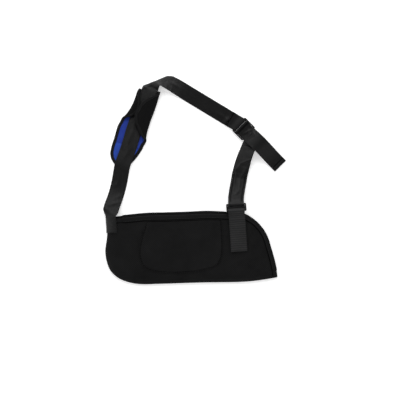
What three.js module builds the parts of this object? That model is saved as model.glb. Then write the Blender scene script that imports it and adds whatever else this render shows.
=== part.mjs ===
import * as THREE from 'three';
import { mergeVertices } from 'three/addons/utils/BufferGeometryUtils.js';

// Arm sling laid out flat and seen from above, in millimetres.
// +X runs to the wrist end, +Y to the shoulder strap, +Z up; z = 0 is the surface it lies on.
// The origin is under the middle of the pouch's flat back panel.

// Pouch
const pouchLength = 405;
const pouchDepth = 172;
const pouchWall = 2.5;
const armGap = 12;
const foldReach = 34;
const foldHeight = 3.2;
const foldUnderside = 7;
const frontDrop = 7;
const mouthCurl = 1.6;
const curlMargin = 3;

// Tape that binds the mouth
const bindingWidth = 9;
const tapeThickness = 1;
const bindingTipGap = 18;
const bindingElbowGap = 2;

// Pocket on the front panel
const pocketLength = 196;
const pocketDepth = 124;
const pocketThickness = 1.6;
const pocketOffset = -24;
const pocketSeamGap = 1.5;

// Webbing
const strapWidth = 37;
const strapThickness = 1.6;
const elbowSewnLength = 36;
const elbowSewnWidth = 31;
const elbowCornerRise = 2;
const shoulderSewnBack = 26;
const adjustingSewnBack = 76;
const layerTaper = 4.5;
const tailLength = 123;
const tailArch = 21;
const tabWidth = 38;
const tabThickness = 1.8;
const tabLength = 96;
const tabStepLead = 8;
const tabStepLength = 6;

// Loop of webbing above the pouch
const loopHeight = 318;
const sliderTurn = -45;
const buckleTurn = 93.9;
const buckleTilt = -12;
const buckleOverhang = 9.6;

// Shoulder pad
const padLength = 185;
const padWidth = 74;
const padShellThickness = 2.2;
const padLiningThickness = 2.3;
const padLayerGap = 0.4;
const padHem = 6;
const padLiningGap = 1.8;
const padTurn = 70.1;
const padFootSkew = 0.38;
const padHeadSkew = 0.2;
const padSkewReach = 0.26;
const padPuff = 0.6;
const padBridge = 0.6;
const rightWingStandOff = 1;
const rightWingClimb = 1.15;
const leastWingShare = 0.25;

// Moulded fittings. The slider's first window holds the sewn loop, its second the strap to the tail.
const fittingBar = 3.8;
const fittingBevel = 0.8;
const fittingSlack = 1;
const sliderRail = 2.8;
const sliderLoopPitch = 10.6;
const sliderTailPitch = 20.4;
const buckleRail = 4;
const buckleBarPitch = 15.6;
const railCorner = 3.4;

const clearance = 0.3;
const restGap = 0.1;
const panelColumns = 45;

const pouchHeight = 2 * pouchWall + armGap;
const curlReach = bindingWidth + curlMargin;
const strapRest = restGap + strapThickness / 2;
const layerRise = strapThickness + clearance;
const barReach = Math.hypot(fittingBar / 2, fittingBar / 2 - fittingBevel);
const barLoopRadius = barReach + clearance + strapThickness / 2;
const tabLoopRadius = barReach + clearance + tabThickness / 2;

// Edge of the pouch that is sewn shut, from the elbow corner round the bottom to the tip by the wrist.
const sewnEdgeRows = [
  { along: -0.493, across: 0.402 },
  { along: -0.488, across: 0.180 },
  { along: -0.499, across: -0.050 },
  { along: -0.489, across: -0.200 },
  { along: -0.468, across: -0.315 },
  { along: -0.423, across: -0.414 },
  { along: -0.360, across: -0.474 },
  { along: -0.293, across: -0.498 },
  { along: -0.190, across: -0.494 },
  { along: 0.055, across: -0.476 },
  { along: 0.300, across: -0.466 },
  { along: 0.389, across: -0.447 },
  { along: 0.455, across: -0.423 },
  { along: 0.503, across: -0.403 },
];

// Open edge, from the elbow corner along the top and down the wrist curve to the same tip.
// drop is the share of frontDrop by which the front panel stops short of the back panel.
const mouthEdgeRows = [
  { along: -0.493, across: 0.402, drop: 0.0 },
  { along: -0.430, across: 0.432, drop: 0.7 },
  { along: -0.363, across: 0.450, drop: 1.0 },
  { along: -0.258, across: 0.474, drop: 1.0 },
  { along: -0.154, across: 0.480, drop: 1.0 },
  { along: -0.015, across: 0.490, drop: 1.0 },
  { along: 0.090, across: 0.501, drop: 1.0 },
  { along: 0.194, across: 0.491, drop: 0.9 },
  { along: 0.280, across: 0.476, drop: 0.6 },
  { along: 0.320, across: 0.455, drop: 0.3 },
  { along: 0.356, across: 0.403, drop: 0.1 },
  { along: 0.385, across: 0.346, drop: 0.0 },
  { along: 0.423, across: 0.237, drop: 0.0 },
  { along: 0.446, across: 0.129, drop: 0.0 },
  { along: 0.460, across: 0.020, drop: 0.0 },
  { along: 0.474, across: -0.090, drop: 0.0 },
  { along: 0.486, across: -0.200, drop: 0.0 },
  { along: 0.496, across: -0.307, drop: 0.0 },
  { along: 0.503, across: -0.403, drop: 0.0 },
];

// Shallow hollows of the front panel: place, half sizes, turn in degrees and depth as a share of armGap.
const frontDents = [
  { along: -0.30, across: -0.05, long: 0.16, wide: 0.16, turn: 62, depth: 0.14 },
  { along: 0.02, across: 0.20, long: 0.22, wide: 0.13, turn: 8, depth: 0.10 },
  { along: 0.26, across: -0.22, long: 0.17, wide: 0.15, turn: -24, depth: 0.13 },
];

// Outline of the pocket, from its top seam down: depth, and half widths to the left and right.
const pocketRows = [
  { down: 0.00, left: 0.410, right: 0.487 },
  { down: 0.16, left: 0.438, right: 0.494 },
  { down: 0.34, left: 0.472, right: 0.499 },
  { down: 0.50, left: 0.497, right: 0.503 },
  { down: 0.63, left: 0.500, right: 0.500 },
  { down: 0.76, left: 0.480, right: 0.485 },
  { down: 0.87, left: 0.440, right: 0.445 },
  { down: 0.94, left: 0.360, right: 0.360 },
  { down: 0.98, left: 0.250, right: 0.250 },
  { down: 1.00, left: 0.120, right: 0.130 },
];

// Shoulder pad, a row for each section from its foot to its head. at is a share of padLength;
// left and right are the half widths, and the folds how far the sheet goes on past the flat base,
// round its side and over the strap, all as shares of padWidth.
const padRows = [
  { at: 0.000, left: 0.292, right: 0.291, leftFold: 0.03, rightFold: 0.03 },
  { at: 0.033, left: 0.387, right: 0.324, leftFold: 0.03, rightFold: 0.03 },
  { at: 0.070, left: 0.482, right: 0.361, leftFold: 0.03, rightFold: 0.03 },
  { at: 0.123, left: 0.560, right: 0.403, leftFold: 0.03, rightFold: 0.03 },
  { at: 0.190, left: 0.591, right: 0.440, leftFold: 0.03, rightFold: 0.03 },
  { at: 0.257, left: 0.596, right: 0.475, leftFold: 0.03, rightFold: 0.03 },
  { at: 0.313, left: 0.607, right: 0.478, leftFold: 0.03, rightFold: 0.03 },
  { at: 0.360, left: 0.615, right: 0.459, leftFold: 0.03, rightFold: 0.06 },
  { at: 0.411, left: 0.624, right: 0.419, leftFold: 0.03, rightFold: 0.20 },
  { at: 0.442, left: 0.627, right: 0.403, leftFold: 0.03, rightFold: 0.26 },
  { at: 0.503, left: 0.595, right: 0.381, leftFold: 0.03, rightFold: 0.43 },
  { at: 0.540, left: 0.540, right: 0.377, leftFold: 0.08, rightFold: 0.53 },
  { at: 0.575, left: 0.481, right: 0.373, leftFold: 0.20, rightFold: 0.58 },
  { at: 0.608, left: 0.446, right: 0.370, leftFold: 0.29, rightFold: 0.61 },
  { at: 0.641, left: 0.419, right: 0.368, leftFold: 0.33, rightFold: 0.65 },
  { at: 0.702, left: 0.381, right: 0.370, leftFold: 0.38, rightFold: 0.62 },
  { at: 0.772, left: 0.358, right: 0.374, leftFold: 0.35, rightFold: 0.60 },
  { at: 0.838, left: 0.354, right: 0.369, leftFold: 0.29, rightFold: 0.53 },
  { at: 0.890, left: 0.358, right: 0.364, leftFold: 0.20, rightFold: 0.41 },
  { at: 0.940, left: 0.362, right: 0.354, leftFold: 0.06, rightFold: 0.26 },
  { at: 0.972, left: 0.350, right: 0.345, leftFold: 0.03, rightFold: 0.16 },
  { at: 1.000, left: 0.332, right: 0.345, leftFold: 0.03, rightFold: 0.10 },
];

// Shoulder strap between the pouch and the pad: share of the way, sideways bow in strap widths,
// and the share of its height on the pouch that is left.
const elbowRunRows = [
  { way: 0.10, bow: -0.03, lift: 0.90 },
  { way: 0.20, bow: -0.03, lift: 0.62 },
  { way: 0.35, bow: 0.02, lift: 0.22 },
  { way: 0.50, bow: 0.05, lift: 0.04 },
  { way: 0.65, bow: 0.05, lift: 0.06 },
  { way: 0.85, bow: 0.01, lift: 0.24 },
];

// Turn of the strap past the pad's head, where it stands on its outer edge: strap widths from the
// middle of the head, and roll in degrees.
const cornerRows = [
  { right: 0.10, up: 0.16, roll: -10 },
  { right: 0.30, up: 0.34, roll: -40 },
  { right: 0.50, up: 0.45, roll: -62 },
  { right: 0.74, up: 0.51, roll: -62 },
  { right: 1.00, up: 0.52, roll: -44 },
  { right: 1.32, up: 0.43, roll: -24 },
  { right: 1.70, up: 0.24, roll: -8 },
];

// Adjusting strap from the buckle to the slider: share of the way, sideways bow in strap widths,
// share of its height at the buckle that is left, and roll in degrees.
const lowerRunRows = [
  { way: 0.11, bow: -0.09, lift: 0.84, roll: 0 },
  { way: 0.24, bow: -0.13, lift: 0.46, roll: 0 },
  { way: 0.38, bow: -0.145, lift: 0.14, roll: 0 },
  { way: 0.52, bow: -0.17, lift: 0.00, roll: -4 },
  { way: 0.65, bow: -0.16, lift: 0.00, roll: -10 },
  { way: 0.79, bow: -0.13, lift: 0.00, roll: -20 },
  { way: 0.90, bow: -0.07, lift: 0.00, roll: -26 },
];

// Its turn beneath the tail, in strap widths from the middle of the slider.
const turnUnderRows = [
  { right: 0.34, up: -1.09, roll: -26 },
  { right: 0.50, up: -0.76, roll: -18 },
  { right: 0.48, up: -0.50, roll: -8 },
];

// Side view of the tail: share of tailLength from the middle of the slider, and share of tailArch.
const tailRows = [
  { way: 0.22, lift: 0.70 },
  { way: 0.33, lift: 1.00 },
  { way: 0.46, lift: 1.00 },
  { way: 0.60, lift: 0.66 },
  { way: 0.76, lift: 0.24 },
  { way: 0.89, lift: 0.04 },
  { way: 1.00, lift: 0.00 },
];

// Places in the loop: share of pouchLength from its middle, and of loopHeight above the pouch.
const padFootPlace = { along: -0.396, above: 0.35 };
const sliderPlace = { along: 0.306, above: 0.61 };
const buckleAlong = 0.263;

const vector = (x, y, z) => new THREE.Vector3(x, y, z);
const up = vector(0, 0, 1);
const smooth = (share) => THREE.MathUtils.smoothstep(share, 0, 1);
const roundOff = (share) => Math.sqrt(1 - (1 - THREE.MathUtils.clamp(share, 0, 1)) ** 2);
const degrees = (angle) => THREE.MathUtils.degToRad(angle);

// Value of one column at a place between the rows of a table.
function between(rows, column, place) {
  const index = Math.min(Math.floor(place), rows.length - 2);
  return THREE.MathUtils.lerp(rows[index][column], rows[index + 1][column], smooth(place - index));
}

// Surfaces gathered as four-sided faces and closed into one solid.
class Faces {
  corners = [];

  triangle(a, b, c) {
    const flat = a.distanceTo(b) * b.distanceTo(c) * c.distanceTo(a) < 1e-7;
    if (!flat) this.corners.push(...a.toArray(), ...b.toArray(), ...c.toArray());
  }

  quad(a, b, c, d) {
    if (a.distanceTo(c) <= b.distanceTo(d)) {
      this.triangle(a, b, c);
      this.triangle(a, c, d);
    } else {
      this.triangle(a, b, d);
      this.triangle(b, c, d);
    }
  }

  grid(rows, turned = false) {
    for (let i = 0; i < rows.length - 1; i++) {
      for (let j = 0; j < rows[i].length - 1; j++) {
        const ring = [rows[i][j], rows[i + 1][j], rows[i + 1][j + 1], rows[i][j + 1]];
        if (turned) ring.reverse();
        this.quad(...ring);
      }
    }
  }

  geometry() {
    const loose = new THREE.BufferGeometry();
    loose.setAttribute('position', new THREE.Float32BufferAttribute(this.corners, 3));
    const merged = mergeVertices(loose, 1e-3);
    merged.computeVertexNormals();
    return merged;
  }
}

// A sheet whose two sides are given as matching grids of points.
function sheetSolid(low, high) {
  const faces = new Faces();
  faces.grid(high);
  faces.grid(low, true);
  const lastRow = high.length - 1;
  const lastColumn = high[0].length - 1;
  for (let i = 0; i < lastRow; i++) {
    faces.quad(low[i][0], low[i + 1][0], high[i + 1][0], high[i][0]);
    faces.quad(high[i][lastColumn], high[i + 1][lastColumn], low[i + 1][lastColumn], low[i][lastColumn]);
  }
  for (let j = 0; j < lastColumn; j++) {
    faces.quad(high[0][j], high[0][j + 1], low[0][j + 1], low[0][j]);
    faces.quad(low[lastRow][j], low[lastRow][j + 1], high[lastRow][j + 1], high[lastRow][j]);
  }
  return faces.geometry();
}

// Normals of a grid of points, from its neighbours.
function gridNormals(grid) {
  return grid.map((row, i) => row.map((point, j) => {
    const before = grid[Math.max(i - 1, 0)][j];
    const after = grid[Math.min(i + 1, grid.length - 1)][j];
    const left = row[Math.max(j - 1, 0)];
    const right = row[Math.min(j + 1, row.length - 1)];
    return after.clone().sub(before).cross(right.clone().sub(left)).normalize();
  }));
}

const offsetGrid = (grid, normals, distance) => grid.map((row, i) =>
  row.map((point, j) => point.clone().addScaledVector(normals[i][j], distance)));

function webbingSolid(grid, thickness) {
  const normals = gridNormals(grid);
  return sheetSolid(offsetGrid(grid, normals, -thickness / 2), offsetGrid(grid, normals, thickness / 2));
}

// Pouch outline

function pouchCurve(rows) {
  const points = rows.map((row) => vector(row.along * pouchLength, row.across * pouchDepth, 0));
  return new THREE.CatmullRomCurve3(points, false, 'centripetal');
}

const sewnEdge = pouchCurve(sewnEdgeRows);
const mouthEdge = pouchCurve(mouthEdgeRows);
const sewnLine = sewnEdge.getSpacedPoints(150);
const mouthLine = mouthEdge.getSpacedPoints(120);
const mouthLength = mouthEdge.getLength();

function distanceTo(line, x, y) {
  const point = vector(x, y, 0);
  const segment = new THREE.Line3();
  const nearest = new THREE.Vector3();
  let best = Infinity;
  for (let i = 0; i < line.length - 1; i++) {
    segment.set(line[i], line[i + 1]).closestPointToPoint(point, true, nearest);
    best = Math.min(best, nearest.distanceTo(point));
  }
  return best;
}

function dentDepth(x, y) {
  let depth = 0;
  for (const dent of frontDents) {
    const away = vector(x - dent.along * pouchLength, y - dent.across * pouchDepth, 0);
    away.applyAxisAngle(up, -degrees(dent.turn));
    const reach = (away.x / (dent.long * pouchLength)) ** 2 + (away.y / (dent.wide * pouchDepth)) ** 2;
    depth += dent.depth * armGap * Math.exp(-2 * reach);
  }
  return depth;
}

// Heights of the outer and inner side of the front panel, and of the back panel.
function frontHeight(x, y, inset = 0) {
  const rise = roundOff((distanceTo(sewnLine, x, y) - inset) / (foldReach - inset));
  return foldHeight + rise * (pouchHeight - inset - foldHeight - dentDepth(x, y));
}

function backHeight(x, y, inset = 0) {
  const under = 1 - roundOff((distanceTo(sewnLine, x, y) - inset) / foldUnderside);
  const curl = mouthCurl * smooth(2 - distanceTo(mouthLine, x, y) / curlReach);
  return inset + curl + under * (foldHeight - inset - curl);
}

// Point of the mouth edge at a share of its length, the way into the pouch from it, and the front
// panel's own edge, which stops short of the back panel's.
function mouthPlace(share) {
  const point = mouthEdge.getPointAt(share);
  const tangent = mouthEdge.getTangentAt(share);
  const inward = vector(tangent.y, -tangent.x, 0);
  const place = mouthEdge.getUtoTmapping(share) * (mouthEdgeRows.length - 1);
  const drop = frontDrop * between(mouthEdgeRows, 'drop', place);
  return { point, inward, front: point.clone().addScaledVector(inward, drop) };
}

// One side of a panel as a grid from the sewn edge to the mouth.
function panelGrid(inset, steps, height, isFront) {
  const grid = [];
  const margin = inset / mouthLength;
  for (let i = 0; i <= panelColumns; i++) {
    const share = i / panelColumns;
    const place = mouthPlace(margin + (1 - 2 * margin) * share);
    const far = isFront ? place.front : place.point;
    const near = sewnEdge.getPointAt(share);
    const tangent = sewnEdge.getTangentAt(share);
    near.addScaledVector(vector(-tangent.y, tangent.x, 0), inset);
    const isEnd = i === 0 || i === panelColumns;
    const row = [];
    for (const cut of panelCuts(near.distanceTo(far), steps)) {
      const point = isEnd ? place.point.clone() : near.clone().lerp(far, cut);
      point.z = isEnd || cut === 0 ? foldHeight : height(point.x, point.y, inset);
      row.push(point);
    }
    grid.push(row);
  }
  return grid;
}

// Shares of the way from the sewn edge to the mouth: close together at the rounded fold, then one
// on each side of the step where the panel curls up to its bound edge.
function panelCuts(length, steps) {
  const curled = Math.min(2 * curlReach, length / 2);
  const bound = Math.min(curlReach, length / 4);
  const cuts = [];
  for (let j = 0; j <= steps; j++) cuts.push((j / steps) ** 2 * (1 - curled / length));
  return [...cuts, 1 - bound / length, 1];
}

function pouchShell() {
  const frontSteps = 8;
  const backSteps = 4;
  const frontOuter = panelGrid(0, frontSteps, frontHeight, true);
  const frontInner = panelGrid(pouchWall, frontSteps, frontHeight, true);
  const backOuter = panelGrid(0, backSteps, backHeight, false);
  const backInner = panelGrid(pouchWall, backSteps, backHeight, false);
  const rim = (outer, inner) => outer.map((row, i) => [row[row.length - 1], inner[i][row.length - 1]]);
  const faces = new Faces();
  faces.grid(frontOuter);
  faces.grid(frontInner, true);
  faces.grid(backOuter, true);
  faces.grid(backInner);
  faces.grid(rim(frontOuter, frontInner));
  faces.grid(rim(backOuter, backInner), true);
  return faces.geometry();
}

// Tape folded over one panel's edge at the mouth, a channel with two legs.
function mouthBinding(isFront) {
  const from = (strapWidth + bindingElbowGap) / mouthLength;
  const to = 1 - bindingTipGap / mouthLength;
  const height = isFront ? frontHeight : backHeight;
  const outerReach = clearance + tapeThickness;
  const shares = [from];
  for (let i = 1; i < panelColumns; i++) {
    const share = i / panelColumns;
    if (share > from && share < to) shares.push(share);
  }
  shares.push(to);
  const loops = [];
  for (const share of shares) {
    const place = mouthPlace(share);
    const edge = isFront ? place.front : place.point;
    const leg = edge.clone().addScaledVector(place.inward, bindingWidth);
    const side = (point, out, isTop, away) => {
      const spot = point.clone().addScaledVector(place.inward, -out);
      const isOuterSide = isTop === isFront;
      const surface = height(point.x, point.y, isOuterSide ? 0 : pouchWall);
      spot.z = surface + (isTop ? away : -away);
      return spot;
    };
    loops.push([
      side(leg, 0, true, outerReach),
      side(edge, outerReach, true, outerReach),
      side(edge, outerReach, false, outerReach),
      side(leg, 0, false, outerReach),
      side(leg, 0, false, clearance),
      side(edge, clearance, false, clearance),
      side(edge, clearance, true, clearance),
      side(leg, 0, true, clearance),
    ]);
  }
  return channelSolid(loops);
}

// A run of eight-cornered channel sections: four corners outside, then four inside the other way.
function channelSolid(loops) {
  const faces = new Faces();
  faces.grid(loops.map((loop) => [...loop, loop[0]]));
  const cap = (loop, turned) => {
    for (let k = 0; k < 3; k++) {
      const ring = [loop[k], loop[k + 1], loop[6 - k], loop[7 - k]];
      if (turned) ring.reverse();
      faces.quad(...ring);
    }
  };
  cap(loops[0], false);
  cap(loops[loops.length - 1], true);
  return faces.geometry();
}

// Height of the front panel's edge above the middle of the pouch, at a place along its length.
function frontEdgeAt(x) {
  let best = null;
  for (let share = 0; share <= 0.7; share += 0.01) {
    const edge = mouthPlace(share).front;
    if (best === null || Math.abs(edge.x - x) < Math.abs(best.x - x)) best = edge;
  }
  return best.y;
}

function pocketPatch() {
  const columns = 12;
  const middleX = pocketOffset;
  const lift = 1.5 * clearance;
  const low = [];
  const high = [];
  for (const row of pocketRows) {
    const lowRow = [];
    const highRow = [];
    for (let j = 0; j <= columns; j++) {
      const x = middleX + THREE.MathUtils.lerp(-row.left, row.right, j / columns) * pocketLength;
      const y = frontEdgeAt(x) - bindingWidth - pocketSeamGap - row.down * pocketDepth;
      const surface = frontHeight(x, y) + lift;
      lowRow.push(vector(x, y, surface));
      highRow.push(vector(x, y, surface + pocketThickness));
    }
    low.push(lowRow);
    high.push(highRow);
  }
  return sheetSolid(low, high);
}

// Webbing

// A place on a strap: its middle, its way forward, its left side and its upper side.
function station(middle, forward, roll = 0) {
  const level = up.clone().cross(forward).normalize();
  const above = forward.clone().cross(level).normalize();
  const left = level.multiplyScalar(Math.cos(roll)).addScaledVector(above, Math.sin(roll));
  return { middle, forward: forward.clone(), left, above: forward.clone().cross(left).normalize() };
}

// Stations on a smooth line through chosen places, kept clear of what the strap lies on.
function stationsThrough(places, stepsEach) {
  const curve = new THREE.CatmullRomCurve3(places.map((place) => place.middle), false, 'centripetal');
  const count = (places.length - 1) * stepsEach;
  const stations = [];
  for (let k = 0; k <= count; k++) {
    const roll = degrees(between(places, 'roll', k / stepsEach));
    const middle = curve.getPoint(k / count);
    middle.z = Math.max(middle.z, strapRest + Math.abs(Math.sin(roll)) * strapWidth / 2);
    const forward = curve.getTangent(k / count);
    stations.push(station(middle, forward, roll));
  }
  return stations;
}

// Points across a strap, from its right edge to its left. The shares are measured from the left
// edge, and crowd there on the strap that bends round the pouch's fold.
const evenShares = [1, 0.5, 0];
const foldShares = [1, 0.74, 0.5, 0.3, 0.16, 0.07, 0];
const acrossStrap = (place, width, shares) => shares.map((share) =>
  place.middle.clone().addScaledVector(place.left, (0.5 - share) * width));

// The half turn round a bar that lies above the last station.
function roundBar(end, radius) {
  const steps = 6;
  const turn = [];
  for (let k = 1; k <= steps; k++) {
    const angle = Math.PI * k / steps;
    const middle = end.middle.clone()
      .addScaledVector(end.above, radius * (1 - Math.cos(angle)))
      .addScaledVector(end.forward, radius * Math.sin(angle));
    turn.push({ ...end, middle });
  }
  return turn;
}

// The layer that comes back from a bar and is sewn down on the strap that led to it.
function layerBack(stations, radius, rise, length) {
  const steps = Math.max(4, Math.round(length / (2 * radius)));
  const taper = layerTaper * radius;
  const layer = [];
  for (let k = 1; k <= steps; k++) {
    const back = length * k / steps;
    let left = back;
    let index = stations.length - 1;
    let span = stations[index].middle.distanceTo(stations[index - 1].middle);
    while (left > span && index > 1) {
      left -= span;
      index -= 1;
      span = stations[index].middle.distanceTo(stations[index - 1].middle);
    }
    const share = left / span;
    const near = stations[index];
    const far = stations[index - 1];
    const above = near.above.clone().lerp(far.above, share).normalize();
    const height = THREE.MathUtils.lerp(2 * radius, rise, smooth(back / taper));
    layer.push({
      middle: near.middle.clone().lerp(far.middle, share).addScaledVector(above, height),
      left: near.left.clone().lerp(far.left, share).normalize(),
      above,
    });
  }
  return layer;
}

// Places of the fittings and the pad

function placeInLoop(place) {
  return vector(place.along * pouchLength, pouchDepth / 2 + place.above * loopHeight, 0);
}

const sliderForward = vector(Math.cos(degrees(sliderTurn)), Math.sin(degrees(sliderTurn)), 0);
const sliderHeight = strapRest + barLoopRadius;
const sliderMiddle = placeInLoop(sliderPlace).setZ(sliderHeight);
const sliderBars = [0, sliderLoopPitch, sliderLoopPitch + sliderTailPitch].map((along) =>
  sliderMiddle.clone().addScaledVector(sliderForward, along - (sliderLoopPitch + sliderTailPitch) / 2));

const buckleForward = vector(
  Math.cos(degrees(buckleTurn)) * Math.cos(degrees(buckleTilt)),
  Math.sin(degrees(buckleTurn)) * Math.cos(degrees(buckleTilt)),
  Math.sin(degrees(buckleTilt)),
);
const tabLevel = pouchHeight + 2 * clearance + tapeThickness + tabThickness / 2;
const buckleLowerBar = vector(
  buckleAlong * pouchLength,
  pouchDepth / 2 + buckleOverhang - buckleBarPitch / 2,
  tabLevel + tabLoopRadius,
);
const buckleMiddle = buckleLowerBar.clone().addScaledVector(buckleForward, buckleBarPitch / 2);
const buckleUpperBar = buckleLowerBar.clone().addScaledVector(buckleForward, buckleBarPitch);

const padForward = vector(Math.cos(degrees(padTurn)), Math.sin(degrees(padTurn)), 0);
const padRight = vector(padForward.y, -padForward.x, 0);
const padFoot = placeInLoop(padFootPlace);

// Pad

const liningInset = padHem + padLiningGap;
const padMiddle = restGap + padShellThickness + padLayerGap / 2;
const padInside = padLayerGap / 2 + padLiningThickness;
const padOutside = padLayerGap / 2 + padShellThickness;
const strapOnPad = padMiddle + padInside + padBridge + strapThickness / 2;
const leftWingHeight = strapOnPad + strapThickness / 2 + clearance + padPuff + padInside;
const rightWingHeight = leftWingHeight + rightWingStandOff;
const rightWingOver = leftWingHeight + padOutside + clearance + padInside;

// Middle of the sheet in one section, at a length from the centreline to one side.
function padSidePoint(length, halfWidth, wingHeight, overHeight) {
  const radius = (wingHeight - padMiddle) / 2;
  const flat = halfWidth - padOutside - radius;
  const turn = (length - flat) / radius;
  if (turn <= 0) return { out: length, height: padMiddle };
  if (turn <= Math.PI) {
    return { out: flat + radius * Math.sin(turn), height: padMiddle + radius * (1 - Math.cos(turn)) };
  }
  const out = flat - (turn - Math.PI) * radius;
  const rise = smooth(rightWingClimb * (flat - out) / flat);
  return { out, height: THREE.MathUtils.lerp(wingHeight, overHeight, rise) };
}

// Lengths at which one side of a section is cut: base, round the side, and the wing.
function padSideCuts(halfWidth, fold, wingHeight) {
  const radius = (wingHeight - padMiddle) / 2;
  const flat = halfWidth - padOutside - radius;
  const wing = Math.max(fold - Math.PI * radius, leastWingShare * fold);
  const turn = fold - wing;
  const cuts = [0.5 * flat, flat];
  for (let k = 1; k <= 4; k++) cuts.push(flat + turn * k / 4);
  for (let k = 1; k <= 2; k++) cuts.push(flat + turn + wing * k / 2);
  return cuts;
}

function padPoint(row, length, isLeft) {
  const halfWidth = (isLeft ? row.left : row.right) * padWidth;
  const spot = isLeft
    ? padSidePoint(length, halfWidth, leftWingHeight, leftWingHeight)
    : padSidePoint(length, halfWidth, rightWingHeight, rightWingOver);
  const out = isLeft ? -spot.out : spot.out;
  const skew = padFootSkew * Math.max(0, 1 - row.at / padSkewReach)
    + padHeadSkew * Math.max(0, 1 - (1 - row.at) / padSkewReach);
  const point = padFoot.clone().addScaledVector(padForward, row.at * padLength + skew * out);
  point.addScaledVector(padRight, out);
  point.z = spot.height;
  return point;
}

// The pad's middle sheet as a grid, its rows from the foot to the head and its columns from right
// to left. margin leaves out the hem all round.
function padGrid(margin) {
  const near = margin / padLength;
  const trim = (cuts) => cuts.map((cut) => cut * (1 - margin / cuts[cuts.length - 1]));
  return padRows.map((place) => {
    const row = padRowAt(near + place.at * (1 - 2 * near));
    const rightCuts = padSideCuts(row.right * padWidth, row.rightFold * padWidth, rightWingHeight);
    const leftCuts = padSideCuts(row.left * padWidth, row.leftFold * padWidth, leftWingHeight);
    const rightPoints = trim(rightCuts).map((length) => padPoint(row, length, false)).reverse();
    const leftPoints = trim(leftCuts).map((length) => padPoint(row, length, true));
    return [...rightPoints, padPoint(row, 0, false), ...leftPoints];
  });
}

function padRowAt(at) {
  const index = Math.max(1, padRows.findIndex((row) => row.at >= at));
  const low = padRows[index - 1];
  const high = padRows[index];
  const share = (at - low.at) / (high.at - low.at);
  const row = {};
  for (const column of Object.keys(low)) row[column] = THREE.MathUtils.lerp(low[column], high[column], share);
  return row;
}

function padLining() {
  const grid = padGrid(liningInset);
  const normals = gridNormals(grid);
  return sheetSolid(offsetGrid(grid, normals, padLayerGap / 2), offsetGrid(grid, normals, padInside));
}

// Points round the border of a grid, back to the first.
function borderOf(grid) {
  const lastRow = grid.length - 1;
  const lastColumn = grid[0].length - 1;
  const border = [];
  for (let i = 0; i < lastRow; i++) border.push(grid[i][0]);
  for (let j = 0; j < lastColumn; j++) border.push(grid[lastRow][j]);
  for (let i = lastRow; i > 0; i--) border.push(grid[i][lastColumn]);
  for (let j = lastColumn; j > 0; j--) border.push(grid[0][j]);
  return [...border, border[0]];
}

// The outer sheet, with a hem all round that stands as high as the lining.
function padShell() {
  const outer = padGrid(0);
  const rim = padGrid(padHem);
  const bed = padGrid(liningInset);
  const outerNormals = gridNormals(outer);
  const rimNormals = gridNormals(rim);
  const bedNormals = gridNormals(bed);
  const underside = offsetGrid(bed, bedNormals, -padOutside);
  const floor = offsetGrid(bed, bedNormals, -padLayerGap / 2);
  const borders = [
    underside,
    offsetGrid(outer, outerNormals, -padOutside),
    offsetGrid(outer, outerNormals, padInside),
    offsetGrid(rim, rimNormals, padInside),
    offsetGrid(rim, rimNormals, -padLayerGap / 2),
    floor,
  ].map(borderOf);
  const faces = new Faces();
  faces.grid(underside, true);
  faces.grid(floor);
  for (let k = 0; k < borders.length - 1; k++) faces.grid([borders[k], borders[k + 1]], true);
  return faces.geometry();
}

// Shoulder strap

// Section of the strap's sewn end, which is gathered a little and lies on the front panel and round
// the pouch's left edge. The panel is sampled somewhat past the strap's width.
function elbowSection(y) {
  const samples = 60;
  const lift = clearance + strapThickness / 2;
  const crossing = sewnLine.findIndex((point, i) => i > 0 && point.y <= y);
  const edge = crossing < 0 ? sewnLine[0].x : sewnLine[Math.max(crossing, 1)].x;
  const surface = [];
  for (let k = 0; k <= samples; k++) {
    const x = edge + 1.4 * strapWidth * (k / samples) ** 2;
    surface.push(vector(x, y, k === 0 ? foldHeight : frontHeight(x, y)));
  }
  const offset = surface.map((point, k) => {
    const before = surface[Math.max(k - 1, 0)];
    const after = surface[Math.min(k + 1, samples)];
    const slope = after.clone().sub(before).normalize();
    return point.clone().add(vector(-slope.z, 0, slope.x).multiplyScalar(lift));
  });
  const line = new THREE.CatmullRomCurve3(offset);
  const total = line.getLength();
  return foldShares.map((share) => line.getPointAt(Math.min(share * elbowSewnWidth / total, 1)));
}

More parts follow.
